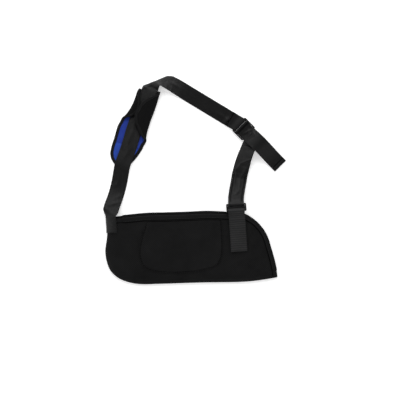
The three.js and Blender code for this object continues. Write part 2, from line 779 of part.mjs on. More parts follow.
function shoulderStrap() {
  const cornerY = sewnEdgeRows[0].across * pouchDepth + elbowCornerRise;
  const sections = [];
  for (let k = 0; k <= 4; k++) sections.push(elbowSection(cornerY - elbowSewnLength * (1 - k / 4)));
  const cornerSection = sections[sections.length - 1];
  const start = cornerSection[foldShares.indexOf(0.5)];

  const foot = padFoot.clone().setZ(strapOnPad);
  const head = foot.clone().addScaledVector(padForward, padLength);
  const places = [{ middle: start.clone(), roll: 0 }];
  for (const row of elbowRunRows) {
    const middle = start.clone().lerp(foot, row.way);
    middle.x += row.bow * strapWidth;
    middle.z = strapRest + row.lift * (start.z - strapRest);
    places.push({ middle, roll: 0 });
  }
  for (const share of [-0.02, 0.3, 0.65, 1]) {
    places.push({ middle: foot.clone().addScaledVector(padForward, share * padLength), roll: 0 });
  }
  for (const row of cornerRows) {
    const middle = head.clone().add(vector(row.right * strapWidth, row.up * strapWidth, 0));
    const onEdge = strapRest + Math.abs(Math.sin(degrees(row.roll))) * strapWidth / 2;
    middle.z = Math.max(onEdge, strapOnPad * (1 - row.right));
    places.push({ middle, roll: row.roll });
  }
  const firstBar = sliderBars[0].clone().setZ(strapRest);
  const corner = places[places.length - 1].middle.clone().setZ(strapRest);
  for (const way of [0.2, 0.55, 0.86]) places.push({ middle: corner.clone().lerp(firstBar, way), roll: 0 });

  const stations = stationsThrough(places, 2);
  stations.push(station(firstBar, sliderForward));
  const blendRows = 3;
  for (let k = 1; k < stations.length; k++) {
    const straight = acrossStrap(stations[k], strapWidth, foldShares);
    const share = smooth(k / blendRows);
    const moved = stations[k].middle.clone().sub(start);
    sections.push(straight.map((point, j) => cornerSection[j].clone().add(moved).lerp(point, share)));
  }
  const loop = roundBar(stations[stations.length - 1], barLoopRadius);
  const back = layerBack(stations, barLoopRadius, layerRise, shoulderSewnBack);
  for (const place of [...loop, ...back]) sections.push(acrossStrap(place, strapWidth, foldShares));
  return webbingSolid(sections, strapThickness);
}

function adjustingStrap() {
  const buckleEnd = station(buckleUpperBar.clone(), buckleForward);
  buckleEnd.middle.addScaledVector(buckleEnd.above, -barLoopRadius);
  const underSlider = sliderMiddle.clone().setZ(strapRest);
  const middleBar = sliderBars[1].clone().setZ(strapRest);
  const lastBar = sliderBars[2].clone().setZ(strapRest);
  const turnIn = turnUnderRows[0];
  const target = underSlider.clone().add(vector(turnIn.right * strapWidth, turnIn.up * strapWidth, 0));
  const places = [{ middle: buckleEnd.middle.clone(), roll: 0 }];
  for (const row of lowerRunRows) {
    const middle = buckleEnd.middle.clone().lerp(target, row.way);
    middle.x += row.bow * strapWidth;
    middle.z = strapRest + row.lift * (buckleEnd.middle.z - strapRest);
    places.push({ middle, roll: row.roll });
  }
  for (const row of turnUnderRows) {
    const middle = underSlider.clone().add(vector(row.right * strapWidth, row.up * strapWidth, 0));
    places.push({ middle, roll: row.roll });
  }
  for (const share of [0, 0.5]) places.push({ middle: lastBar.clone().lerp(middleBar, share), roll: 0 });
  const run = stationsThrough(places, 2);
  run[0] = { ...buckleEnd };
  run.push(station(middleBar, sliderForward.clone().negate()));

  const reversed = run.slice().reverse();
  const buckleBack = { ...buckleEnd, forward: buckleForward.clone().negate() };
  const endLoop = roundBar(buckleBack, barLoopRadius).reverse();
  const endLayer = layerBack(reversed, barLoopRadius, layerRise, adjustingSewnBack).reverse();
  const sliderLoop = roundBar(run[run.length - 1], barLoopRadius);

  const over = sliderHeight + barLoopRadius;
  const tailPlaces = [middleBar, lastBar].map((bar) => ({ middle: bar.clone().setZ(over), roll: 0 }));
  for (const row of tailRows) {
    const middle = sliderMiddle.clone().addScaledVector(sliderForward, row.way * tailLength);
    middle.z = strapRest + row.lift * tailArch;
    tailPlaces.push({ middle, roll: 0 });
  }
  const tail = stationsThrough(tailPlaces, 2).slice(1);
  for (const place of tail) place.left.negate();
  const all = [...endLayer, ...endLoop, ...run, ...sliderLoop, ...tail];
  return webbingSolid(all.map((place) => acrossStrap(place, strapWidth, evenShares)), strapThickness);
}

// Short ribbed webbing that holds the buckle: sewn on the front panel, round the bar and back.
function buckleTab() {
  const bar = station(buckleLowerBar.clone(), vector(buckleForward.x, buckleForward.y, 0).normalize());
  bar.middle.addScaledVector(bar.above, -tabLoopRadius);
  const stations = [];
  const steps = 14;
  const edgeY = frontEdgeAt(buckleLowerBar.x);
  for (let k = 0; k < steps; k++) {
    const middle = bar.middle.clone().addScaledVector(bar.forward, -tabLength * (1 - k / steps));
    const onBinding = smooth((middle.y - (edgeY - bindingWidth - tabStepLead)) / tabStepLength);
    const onPanel = frontHeight(middle.x, middle.y) + clearance + tabThickness / 2;
    middle.z = THREE.MathUtils.lerp(onPanel, bar.middle.z, onBinding);
    stations.push(middle);
  }
  stations.push(bar.middle.clone());
  const run = stations.map((middle, k) => {
    const before = stations[Math.max(k - 1, 0)];
    const after = stations[Math.min(k + 1, stations.length - 1)];
    return station(middle, after.clone().sub(before).normalize());
  });
  run[run.length - 1] = bar;
  const loop = roundBar(bar, tabLoopRadius);
  const back = layerBack(run, tabLoopRadius, tabThickness + clearance, tabLength - 1);
  const all = [...run, ...loop, ...back];
  return webbingSolid(all.map((place) => acrossStrap(place, tabWidth, evenShares)), tabThickness);
}

// Moulded fittings

function roundedRectangle(path, width, length, corner) {
  const x = width / 2;
  const y = length / 2;
  path.moveTo(0, -y);
  path.lineTo(x - corner, -y);
  path.absarc(x - corner, -y + corner, corner, -Math.PI / 2, 0);
  path.lineTo(x, y - corner);
  path.absarc(x - corner, y - corner, corner, 0, Math.PI / 2);
  path.lineTo(-x + corner, y);
  path.absarc(-x + corner, y - corner, corner, Math.PI / 2, Math.PI);
  path.lineTo(-x, -y + corner);
  path.absarc(-x + corner, -y + corner, corner, Math.PI, 1.5 * Math.PI);
  path.closePath();
  return path;
}

// A flat frame with bars across it, a window after each but the last, its edges bevelled all round.
// pitches are the distances from each bar to the next.
function barFrame(strap, rail, pitches) {
  const trim = fittingBevel;
  const innerWidth = strap + fittingSlack;
  const length = pitches.reduce((sum, pitch) => sum + pitch) + fittingBar;
  const shape = roundedRectangle(
    new THREE.Shape(), innerWidth + 2 * rail - 2 * trim, length - 2 * trim, railCorner - trim);
  const halfWidth = innerWidth / 2 + trim;
  let near = (fittingBar - length) / 2;
  for (const pitch of pitches) {
    const hole = new THREE.Path();
    const low = near + fittingBar / 2 - trim;
    const high = near + pitch - fittingBar / 2 + trim;
    hole.moveTo(-halfWidth, low);
    hole.lineTo(-halfWidth, high);
    hole.lineTo(halfWidth, high);
    hole.lineTo(halfWidth, low);
    hole.closePath();
    shape.holes.push(hole);
    near += pitch;
  }
  const solid = new THREE.ExtrudeGeometry(shape, {
    depth: fittingBar - 2 * trim,
    bevelEnabled: true,
    bevelThickness: trim,
    bevelSize: trim,
    bevelOffset: 0,
    bevelSegments: 1,
    curveSegments: 4,
  });
  solid.translate(0, 0, -(fittingBar - 2 * trim) / 2);
  solid.deleteAttribute('normal');
  solid.deleteAttribute('uv');
  const merged = mergeVertices(solid, 1e-3);
  merged.computeVertexNormals();
  return merged;
}

function placeFitting(mesh, middle, forward) {
  const right = forward.clone().cross(up).normalize();
  const above = right.clone().cross(forward).normalize();
  mesh.quaternion.setFromRotationMatrix(new THREE.Matrix4().makeBasis(right, forward, above));
  mesh.position.copy(middle);
  return mesh;
}

// Finishes

const finishes = {
  neoprene: { color: 0x1b1c1e, roughness: 0.92, metalness: 0 },
  pocketCloth: { color: 0x1d1e20, roughness: 0.9, metalness: 0 },
  bindingTape: { color: 0x151517, roughness: 0.8, metalness: 0 },
  webbing: { color: 0x1f2022, roughness: 0.78, metalness: 0 },
  ribbedWebbing: { color: 0x2f3032, roughness: 0.8, metalness: 0 },
  padCloth: { color: 0x19191b, roughness: 0.88, metalness: 0 },
  blueMesh: { color: 0x2a4cc0, roughness: 0.85, metalness: 0 },
  mouldedPlastic: { color: 0x0e0e10, roughness: 0.42, metalness: 0 },
};

function piece(name, geometry, finish) {
  const mesh = new THREE.Mesh(geometry, new THREE.MeshStandardMaterial(finishes[finish]));
  mesh.name = name;
  return mesh;
}

const sling = new THREE.Group();
sling.add(piece('pouch', pouchShell(), 'neoprene'));
sling.add(piece('front_binding', mouthBinding(true), 'bindingTape'));
sling.add(piece('back_binding', mouthBinding(false), 'bindingTape'));
sling.add(piece('pocket', pocketPatch(), 'pocketCloth'));
sling.add(piece('shoulder_strap', shoulderStrap(), 'webbing'));
sling.add(piece('adjusting_strap', adjustingStrap(), 'webbing'));
sling.add(piece('buckle_tab', buckleTab(), 'ribbedWebbing'));
sling.add(piece('pad_shell', padShell(), 'padCloth'));
sling.add(piece('pad_lining', padLining(), 'blueMesh'));

const sliderFrame = barFrame(strapWidth, sliderRail, [sliderLoopPitch, sliderTailPitch]);
sling.add(placeFitting(piece('slider', sliderFrame, 'mouldedPlastic'), sliderMiddle, sliderForward));
const buckleFrame = barFrame(tabWidth, buckleRail, [buckleBarPitch / 2, buckleBarPitch / 2]);
sling.add(placeFitting(piece('buckle', buckleFrame, 'mouldedPlastic'), buckleMiddle, buckleForward));

export default sling;
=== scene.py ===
import math
import bpy
import numpy as np
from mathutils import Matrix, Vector, noise


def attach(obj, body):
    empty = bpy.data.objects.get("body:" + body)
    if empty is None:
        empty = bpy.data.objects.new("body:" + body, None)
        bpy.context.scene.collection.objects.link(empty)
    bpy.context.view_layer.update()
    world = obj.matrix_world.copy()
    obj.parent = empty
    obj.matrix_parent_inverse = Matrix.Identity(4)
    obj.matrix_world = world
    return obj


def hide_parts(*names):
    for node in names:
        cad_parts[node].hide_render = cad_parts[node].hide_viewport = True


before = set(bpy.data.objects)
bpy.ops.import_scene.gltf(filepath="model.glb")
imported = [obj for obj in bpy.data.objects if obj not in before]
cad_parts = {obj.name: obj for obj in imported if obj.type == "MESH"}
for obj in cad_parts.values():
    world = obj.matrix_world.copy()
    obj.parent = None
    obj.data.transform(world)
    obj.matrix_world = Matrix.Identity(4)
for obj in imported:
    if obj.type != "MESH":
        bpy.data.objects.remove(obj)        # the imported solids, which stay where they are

bpy.ops.object.select_all(action="DESELECT")
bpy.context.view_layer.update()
toMetres = 0.001         # the pieces' sizes are in millimetres, and meshes are made in metres

# the camera comes first, straight above the sling

studio = {
    # in metres
    "middle": (0.02115, 0.1128), "cameraHeight": 2.2295, "lens": 85,
    "floorSize": 9.0, "floorWhite": 0.93,
    "floorGlow": 0.42, "overhead": 0.05, "ring": 1.15, "overheadTo": 0.87, "ringFrom": 0.60,
    # place, size, power
    "lights": [((0.0, 2.9, 2.3), 2.4, 66), ((-2.2, 0.2, 1.6), 2.2, 8)],
}


def addCamera():
    x, y = studio["middle"]
    bpy.ops.object.camera_add(location=(x, y, studio["cameraHeight"]), rotation=(0, 0, 0))
    camera = bpy.context.object
    camera.data.lens = studio["lens"]
    camera.data.sensor_width = 36
    camera.data.clip_end = 50
    bpy.context.scene.camera = camera
    bpy.context.scene.view_settings.view_transform = "Standard"


addCamera()
print("camera is set")

# values that several pieces share, and the webbing, tape and tab that they are fitted to

clearance = 0.3
restGap = 0.1
boundSeam = 10.6         # from the pouch's bound edge to the seam just past its tape
pocketInset = 2.2        # from the pocket's edge to its seam
quiltSeam = 44.5         # up the pad, where its lining is quilted across
webbing = {
    "width": 37, "thickness": 1.6, "sewnElbow": 36, "sewnWidth": 31, "sewnBack": 26,
    "sewnBackLower": 76, "tail": 123, "tailArch": 21, "stepsEach": 18, "across": 29,
    "cornerRise": 0.6, "shadeReach": 2.4, "elbowSteps": 61,
}
tape = {"width": 9, "thickness": 1.0, "tipGap": 18, "foldedOut": 30, "steps": 240, "swell": 0.12}
tab = {"width": 38, "thickness": 1.8, "length": 96, "steps": 44, "climbFrom": 8, "climb": 6}


# lines and grids


def smooth(share):
    t = np.clip(share, 0, 1)
    return t * t * (3 - 2 * t)


def roundOff(share):
    return np.sqrt(1 - (1 - np.clip(share, 0, 1)) ** 2)


def unit(v):
    v = np.asarray(v, float)
    return v / np.maximum(np.linalg.norm(v, axis=-1, keepdims=True), 1e-12)


def mix(a, b, share):
    return a + (b - a) * share


def bump(x, y, size, seed):
    # smooth noise of about -1 to 1 with the given size of swell
    return noise.noise(Vector((x / size, y / size, seed * 7.31)))


def runLengths(points):
    # how far along a line of points each of them lies
    return np.concatenate([[0], np.cumsum(np.linalg.norm(np.diff(points, axis=0), axis=1))])


class SmoothLine:
    # a centripetal line through points, read by place (0, 1, 2 ... along the points) or by share
    def __init__(self, points):
        p = np.asarray(points, float)
        self.last = len(p) - 1
        self.points = np.vstack([2 * p[0] - p[1], p, 2 * p[-1] - p[-2]])
        self.places = np.linspace(0, self.last, 40 * self.last + 1)
        self.lengths = runLengths(np.array([self.at(place) for place in self.places]))
        self.length = self.lengths[-1]

    def at(self, place):
        k = min(int(place), self.last - 1)
        w = place - k
        p0, p1, p2, p3 = self.points[k:k + 4]
        d0, d1, d2 = [math.sqrt(max(np.linalg.norm(b - a), 1e-9)) for a, b in ((p0, p1), (p1, p2), (p2, p3))]
        t1 = ((p1 - p0) / d0 - (p2 - p0) / (d0 + d1) + (p2 - p1) / d1) * d1
        t2 = ((p2 - p1) / d1 - (p3 - p1) / (d1 + d2) + (p3 - p2) / d2) * d1
        return p1 + t1 * w + (3 * (p2 - p1) - 2 * t1 - t2) * w ** 2 + (2 * (p1 - p2) + t1 + t2) * w ** 3

    def ahead(self, place):
        return unit(self.at(min(place + 1e-3, self.last)) - self.at(max(place - 1e-3, 0)))

    def placeOf(self, share):
        return float(np.interp(share * self.length, self.lengths, self.places))

    def atShare(self, share):
        return self.at(self.placeOf(share))

    def spaced(self, count):
        return np.array([self.atShare(k / count) for k in range(count + 1)])


def gridNormals(grid):
    along = np.empty_like(grid)
    along[1:-1] = grid[2:] - grid[:-2]
    along[0] = grid[1] - grid[0]
    along[-1] = grid[-1] - grid[-2]
    over = np.empty_like(grid)
    over[:, 1:-1] = grid[:, 2:] - grid[:, :-2]
    over[:, 0] = grid[:, 1] - grid[:, 0]
    over[:, -1] = grid[:, -1] - grid[:, -2]
    return unit(np.cross(along, over))


def offsetGrid(grid, distance):
    return grid + gridNormals(grid) * np.asarray(distance)[..., None]


def makePiece(name, points, faces, material, uv=None, nodes=(), smoothAngle=50, marks=None):
    mesh = bpy.data.meshes.new(name)
    mesh.from_pydata((np.asarray(points) * toMetres).tolist(), [], faces)
    # the marks attribute holds how much painted shade darkens each point
    if marks is not None:
        shadeLines = mesh.attributes.new("marks", "FLOAT", "POINT")
        shadeLines.data.foreach_set("value", np.asarray(marks, np.float32).ravel())
    if uv is not None:
        layer = mesh.uv_layers.new(name="cloth")
        index = np.empty(len(mesh.loops), np.int32)
        mesh.loops.foreach_get("vertex_index", index)
        layer.data.foreach_set("uv", (np.asarray(uv)[index] * toMetres).astype(np.float32).ravel())
    mesh.materials.append(material)
    piece = bpy.data.objects.new(name, mesh)
    bpy.context.scene.collection.objects.link(piece)
    bpy.ops.object.select_all(action="DESELECT")
    piece.select_set(True)
    bpy.context.view_layer.objects.active = piece
    bpy.ops.object.mode_set(mode="EDIT")
    bpy.ops.mesh.select_all(action="SELECT")
    bpy.ops.mesh.remove_doubles(threshold=2e-6)
    bpy.ops.object.mode_set(mode="OBJECT")
    bpy.ops.object.shade_smooth_by_angle(angle=math.radians(smoothAngle))
    piece.select_set(False)
    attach(piece, "root")
    if nodes:
        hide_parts(*nodes)
    return piece


class Shell:
    # points, faces, cloth coordinates and painted shade gathered from grids
    def __init__(self):
        self.points, self.faces, self.uv, self.marks, self.count = [], [], [], [], 0

    def grid(self, rows, turned=False, uv=None, marks=None):
        n, m = rows.shape[:2]
        self.points.append(rows.reshape(-1, 3))
        self.uv.append(np.zeros((n * m, 2)) if uv is None else np.asarray(uv).reshape(-1, 2))
        self.marks.append(np.zeros(n * m) if marks is None else np.asarray(marks).ravel())
        for i in range(n - 1):
            for j in range(m - 1):
                a = self.count + i * m + j
                ring = (a, a + m, a + m + 1, a + 1)
                self.faces.append(ring[::-1] if turned else ring)
        self.count += n * m

    def make(self, name, material, nodes=(), smoothAngle=50):
        return makePiece(name, np.vstack(self.points), self.faces, material,
                         np.vstack(self.uv), nodes, smoothAngle, np.concatenate(self.marks))


def sheetPiece(name, low, high, uv, material, nodes=(), smoothAngle=50, marks=None):
    # a closed sheet between two matching grids
    shell = Shell()
    shell.grid(high, False, uv, marks)
    shell.grid(low, True, uv, marks)
    every = slice(None)
    for edge, turned in (((every, 0), False), ((every, -1), True), ((0, every), True), ((-1, every), False)):
        shell.grid(np.stack([low[edge], high[edge]], 1), turned, np.stack([uv[edge], uv[edge]], 1))
    return shell.make(name, material, nodes, smoothAngle)


# finishes


class Thread:
    # one socket of a shader tree, so that shader maths reads as plain expressions
    def __init__(self, tree, socket=None):
        self.tree, self.socket = tree, socket

    def add(self, kind, inputs=None, output=0, **settings):
        made = self.tree.nodes.new(kind)
        for name, value in settings.items():
            setattr(made, name, value)
        for name, value in (inputs or {}).items():
            self.put(made.inputs[name], value)
        return Thread(self.tree, made.outputs[output])

    def put(self, socket, value):
        if isinstance(value, Thread):
            self.tree.links.new(value.socket, socket)
        elif isinstance(value, tuple) and socket.type == "RGBA" and len(value) == 3:
            socket.default_value = (*value, 1)
        else:
            socket.default_value = value

    def maths(self, operation, first, second=None, clamp=False):
        values = {0: first} if second is None else {0: first, 1: second}
        return self.add("ShaderNodeMath", values, operation=operation, use_clamp=clamp)

    def __add__(self, other):
        return self.maths("ADD", self, other)

    def __radd__(self, other):
        return self.maths("ADD", other, self)

    def __sub__(self, other):
        return self.maths("SUBTRACT", self, other)

    def __rsub__(self, other):
        return self.maths("SUBTRACT", other, self)

    def __mul__(self, other):
        return self.maths("MULTIPLY", self, other)

    def __rmul__(self, other):
        return self.maths("MULTIPLY", other, self)

    def __truediv__(self, other):
        return self.maths("DIVIDE", self, other)

    def __lt__(self, other):
        return self.maths("LESS_THAN", self, other)

    def __gt__(self, other):
        return self.maths("GREATER_THAN", self, other)

    def __abs__(self):
        return self.maths("ABSOLUTE", self)

    def sine(self):
        return self.maths("SINE", self)

    def clamped(self):
        return self.maths("ADD", self, 0.0, clamp=True)

    def blend(self, low, high):
        return self.add("ShaderNodeMix", {0: self, 6: low, 7: high}, output=2, data_type="RGBA")


def startMaterial(name, roughness, specular, sheen=0.0, sheenRoughness=0.5):
    material = bpy.data.materials.new(name)
    material.use_nodes = True
    shader = material.node_tree.nodes["Principled BSDF"]
    shader.inputs["Roughness"].default_value = roughness
    shader.inputs["Specular IOR Level"].default_value = specular
    shader.inputs["Sheen Weight"].default_value = sheen
    shader.inputs["Sheen Roughness"].default_value = sheenRoughness
    return material, shader, Thread(material.node_tree)


def setBump(thread, shader, height, distance, strength=1.0):
    raised = thread.add("ShaderNodeBump", {"Height": height, "Distance": distance, "Strength": strength})
    thread.put(shader.inputs["Normal"], raised)


def paintShadeLines(thread, shader, sunk):
    # painted shade: where the mask is high the surface is mixed towards a black diffuse, which stands for
    # the shade in a seam's groove or along a layer's edge
    blackShade = thread.tree.nodes.new("ShaderNodeBsdfDiffuse")
    blackShade.inputs["Color"].default_value = (0.0003, 0.0003, 0.0003, 1)
    mixed = thread.add("ShaderNodeMixShader", {0: sunk})
    both = mixed.socket.node
    thread.tree.links.new(shader.outputs[0], both.inputs[1])
    thread.tree.links.new(blackShade.outputs[0], both.inputs[2])
    thread.tree.links.new(mixed.socket, thread.tree.nodes["Material Output"].inputs["Surface"])


def separate(thread, vector):
    made = thread.tree.nodes.new("ShaderNodeSeparateXYZ")
    thread.put(made.inputs[0], vector)
    return [Thread(thread.tree, output) for output in made.outputs]


def noiseField(thread, place, scale, detail=2.0, roughness=0.5):
    return thread.add("ShaderNodeTexNoise", {
        "Vector": place, "Scale": scale, "Detail": detail, "Roughness": roughness})


clothShades = {
    "pouch": ((0.0022, 0.0022, 0.0023), (0.0130, 0.0130, 0.0133)),
    "pocket": ((0.0023, 0.0023, 0.0024), (0.0132, 0.0132, 0.0135)),
    "tape": ((0.0048, 0.0048, 0.0050), (0.0104, 0.0104, 0.0107)),
    "webbing": ((0.0022, 0.0022, 0.0023), (0.0060, 0.0060, 0.0062)),
    "ribbed": ((0.0070, 0.0070, 0.0072), (0.0250, 0.0250, 0.0256)),
    "pad": ((0.0026, 0.0026, 0.0027), (0.0058, 0.0058, 0.0060)),
    "thread": ((0.0060, 0.0060, 0.0063), (0.0140, 0.0140, 0.0145)),
}


def jerseyMaterial(name, shades, knit=0.0011, specular=0.08, seamPlace=None, seamWidth=0.0008):
    # knitted face of the laminate: fine columns of loops, small dimples, mottling and a little fuzz;
    # a seam sinks into it where the first cloth coordinate is seamPlace, and painted shade darkens its
    # groove
    material, shader, thread = startMaterial(name, 0.86, specular, 0.02, 0.45)
    place = thread.add("ShaderNodeTexCoord", output=3)
    x, y, z = separate(thread, place)
    turn = 2 * math.pi / knit
    columns = (x * turn + (y * turn * 0.5).sine() * 0.7).sine()
    rows = ((y + z) * turn * 0.8).sine()
    loops = columns * rows * 0.5 + 0.5
    dimple = (x * (turn * 0.235)).sine() * ((y + z) * (turn * 0.235)).sine()
    cloud = noiseField(thread, place, 26.0, 4.0, 0.6)
    fuzz = noiseField(thread, place, 1900.0)
    tone = loops * 0.20 + cloud * 0.70 + fuzz * 0.15 + dimple * 0.30 - 0.1
    height = loops * 0.7 + fuzz * 0.5 + cloud * 0.6 + dimple * 0.3
    if seamPlace is not None:
        cloth = thread.add("ShaderNodeUVMap", uv_map="cloth")
        away = abs(separate(thread, cloth)[0] - seamPlace) / seamWidth
        sunk = (1.6 - away).clamped()
        height = height - sunk * 1.5
        # painted shade in the seam's groove
        paintShadeLines(thread, shader, sunk * 0.9)
    thread.put(shader.inputs["Base Color"], tone.clamped().blend(*shades))
    thread.put(shader.inputs["Roughness"], 0.80 + fuzz * 0.14)
    setBump(thread, shader, height, 0.00022, 0.8)
    return material


def webbingMaterial(name, shades, width, ribPitch=0.0016, columnPitch=0.0012, depth=0.00011,
                    specular=0.20, roughness=0.34, ribHighlight=0.0):
    # woven band: raised ribs across it, warp columns along it, a firm selvedge on both sides,
    # and painted shade in the lines that the piece's marks attribute gives, at seams, at a layer's end and
    # by the slider's bar
    material, shader, thread = startMaterial(name, roughness, specular, 0.0, 0.35)
    marks = thread.add("ShaderNodeAttribute", output=2, attribute_name="marks")
    cloth = thread.add("ShaderNodeUVMap", uv_map="cloth")
    u, v, _ = separate(thread, cloth)
    ribs = (v * (2 * math.pi / ribPitch)).sine()
    columns = (u * (2 * math.pi / columnPitch)).sine()
    weave = ribs * columns * 0.5 + 0.5
    fromEdge = width / 2 - abs(u - width / 2)
    selvedge = fromEdge < 0.0018
    place = thread.add("ShaderNodeTexCoord", output=3)
    cloud = noiseField(thread, place, 34.0, 3.0, 0.55)
    fibre = noiseField(thread, place, 2400.0)
    # painted highlight: ribHighlight makes the ribs' crests lighter
    tone = weave * 0.35 + cloud * 0.55 + fibre * 0.25 + ribs * ribHighlight - 0.1 - selvedge * 0.12
    thread.put(shader.inputs["Base Color"], tone.clamped().blend(*shades))
    thread.put(shader.inputs["Roughness"], roughness - 0.05 + fibre * 0.12 + cloud * 0.05)
    setBump(thread, shader, ribs + weave * 0.4 + fibre * 0.3 - selvedge * 0.5, depth, 0.8)
    # painted shade along those lines
    paintShadeLines(thread, shader, marks * 0.85)
    return material


def meshMaterial(name):
    # spacer mesh: a net of small holes in staggered rows, lighter below the quilting seam; the holes are
    # painted with the shade that falls inside them
    material, shader, thread = startMaterial(name, 0.7, 0.2, 0.05, 0.4)
    cloth = thread.add("ShaderNodeUVMap", uv_map="cloth")
    u, v, _ = separate(thread, cloth)
    pitch = 2 * math.pi / 0.0030
    holes = ((u * pitch).sine() * (v * pitch * 0.62).sine()) * 0.5 + 0.5
    hole = (holes > 0.72)
    place = thread.add("ShaderNodeTexCoord", output=3)
    cloud = noiseField(thread, place, 60.0, 3.0)
    fibre = noiseField(thread, place, 1800.0)
    lower = ((quiltSeam * toMetres - v) * 600.0).clamped()
    base = lower.blend((0.009, 0.024, 0.24), (0.014, 0.054, 0.36))
    worn = (cloud * 0.6 + fibre * 0.3 - 0.15).blend(base, (0.022, 0.070, 0.40))
    # painted shade: the holes are darkened for the shade inside them
    dark = (hole * 0.6).blend(worn, (0.002, 0.005, 0.045))
    thread.put(shader.inputs["Base Color"], dark)
    thread.put(shader.inputs["Roughness"], 0.62 + fibre * 0.2)
    setBump(thread, shader, 1 - holes * 0.8 + fibre * 0.2, 0.0005, 0.8)
    return material


def plasticMaterial(name):
    # injection-moulded black plastic with a fine spark texture and faint scuffs
    material, shader, thread = startMaterial(name, 0.5, 0.13)
    place = thread.add("ShaderNodeTexCoord", output=3)
    grain = noiseField(thread, place, 2600.0)
    scuffs = noiseField(thread, place, 180.0, 5.0, 0.7)
    tone = (scuffs * 0.9 + grain * 0.2 - 0.1).clamped()
    thread.put(shader.inputs["Base Color"], tone.blend((0.0020, 0.0020, 0.0022), (0.0045, 0.0045, 0.0048)))
    thread.put(shader.inputs["Roughness"], 0.46 + scuffs * 0.16)
    setBump(thread, shader, grain + scuffs * 0.3, 0.00006, 0.6)
    return material


def threadMaterial(name, shades):
    # twisted sewing thread
    material, shader, thread = startMaterial(name, 0.5, 0.3)
    place = thread.add("ShaderNodeTexCoord", output=3)
    twist = thread.add("ShaderNodeTexWave", {"Vector": place, "Scale": 900.0, "Distortion": 2.0},
                       output=1, bands_direction="DIAGONAL")
    thread.put(shader.inputs["Base Color"], twist.blend(*shades))
    thread.put(shader.inputs["Roughness"], 0.42 + twist * 0.2)
    setBump(thread, shader, twist, 0.0001, 0.6)
    return material


finish = {
    "neoprene": jerseyMaterial("blackJersey", clothShades["pouch"], seamPlace=boundSeam * toMetres),
    "pocketCloth": jerseyMaterial("pocketJersey", clothShades["pocket"], seamPlace=pocketInset * toMetres),
    "bindingTape": webbingMaterial(
        "bindingTape", clothShades["tape"], width=tape["foldedOut"] * toMetres, ribPitch=0.0013,
        columnPitch=0.0030, depth=0.00003, specular=0.06, roughness=0.7),
    "webbing": webbingMaterial("blackWebbing", clothShades["webbing"], width=webbing["width"] * toMetres),
    "ribbedWebbing": webbingMaterial(
        "ribbedWebbing", clothShades["ribbed"], width=tab["width"] * toMetres, ribPitch=0.0051,
        columnPitch=0.0019, depth=0.00025, specular=0.16, roughness=0.6, ribHighlight=0.3),
    "padCloth": jerseyMaterial("padJersey", clothShades["pad"], knit=0.0014),
    "blueMesh": meshMaterial("blueSpacerMesh"),
    "mouldedPlastic": plasticMaterial("mouldedPlastic"),
    "thread": threadMaterial("sewingThread", clothShades["thread"]),
}
print("finishes are made")

# pale floor, a ring of soft light round a dimmer overhead, and two soft boxes


def addStudio():
    x, y = studio["middle"]
    bpy.ops.mesh.primitive_plane_add(size=studio["floorSize"], location=(0, 0, -0.0004))
    floor = bpy.context.object
    floor.name = "floor"
    paint, shader, _ = startMaterial("floorPaint", 0.9, 0.1)
    white = studio["floorWhite"]
    shader.inputs["Base Color"].default_value = (white, white, white, 1)
    shader.inputs["Emission Color"].default_value = (1, 1, 1, 1)
    shader.inputs["Emission Strength"].default_value = studio["floorGlow"]
    floor.data.materials.append(paint)

    for place, size, power in studio["lights"]:
        bpy.ops.object.light_add(type="AREA", location=place)
        box = bpy.context.object
        box.data.shape = "DISK"
        box.data.size = size
        box.data.energy = power
        box.rotation_euler = (Vector((x, y, 0)) - Vector(place)).to_track_quat("-Z", "Y").to_euler()

    world = bpy.data.worlds.new("lightTent")
    world.use_nodes = True
    thread = Thread(world.node_tree)
    towards = separate(thread, thread.add("ShaderNodeTexCoord"))[2]
    glow = thread.add("ShaderNodeMapRange", {
        "Value": towards, "From Min": studio["ringFrom"], "From Max": studio["overheadTo"],
        "To Min": studio["ring"], "To Max": studio["overhead"]}, interpolation_type="SMOOTHSTEP")
    thread.put(world.node_tree.nodes["Background"].inputs["Strength"], glow)
    world.node_tree.nodes["Background"].inputs["Color"].default_value = (1, 1, 1, 1)
    bpy.context.scene.world = world


addStudio()
print("floor and light are set")

# pouch

pouch = {
    "length": 405, "depth": 172, "wall": 2.5, "height": 17, "gap": 12,
    "foldReach": 34, "foldHeight": 3.2, "foldUnderside": 7, "frontDrop": 7, "mouthCurl": 1.6,
    "curlReach": 12, "columns": 190, "steps": 46, "curlSteps": 14, "ripple": 0.45, "rippleSize": 46,
}
sewnEdgeRows = [
    # along, across
    (-0.493, 0.402), (-0.488, 0.180), (-0.499, -0.050), (-0.489, -0.200), (-0.468, -0.315),
    (-0.423, -0.414), (-0.360, -0.474), (-0.293, -0.498), (-0.190, -0.494), (0.055, -0.476),
    (0.300, -0.466), (0.389, -0.447), (0.455, -0.423), (0.503, -0.403),
]
mouthEdgeRows = [
    # along, across, drop of the front panel
    (-0.493, 0.402, 0.0), (-0.430, 0.432, 0.7), (-0.363, 0.450, 1.0), (-0.258, 0.474, 1.0),
    (-0.154, 0.480, 1.0), (-0.015, 0.490, 1.0), (0.090, 0.501, 1.0), (0.194, 0.491, 0.9),
    (0.280, 0.476, 0.6), (0.320, 0.455, 0.3), (0.356, 0.403, 0.1), (0.385, 0.346, 0.0),
    (0.423, 0.237, 0.0), (0.446, 0.129, 0.0), (0.460, 0.020, 0.0), (0.474, -0.090, 0.0),
    (0.486, -0.200, 0.0), (0.496, -0.307, 0.0), (0.503, -0.403, 0.0),
]
frontDents = [
    # along, across, long, wide, turn in degrees, depth
    (-0.30, -0.05, 0.16, 0.16, 62, 0.14), (0.02, 0.20, 0.22, 0.13, 8, 0.10),
    (0.26, -0.22, 0.17, 0.15, -24, 0.13),
]

sewnEdge = SmoothLine([(a * pouch["length"], b * pouch["depth"], 0) for a, b in sewnEdgeRows])
mouthEdge = SmoothLine([(a * pouch["length"], b * pouch["depth"], 0) for a, b, _ in mouthEdgeRows])
sewnLine = sewnEdge.spaced(150)[:, :2]
mouthLine = mouthEdge.spaced(120)[:, :2]


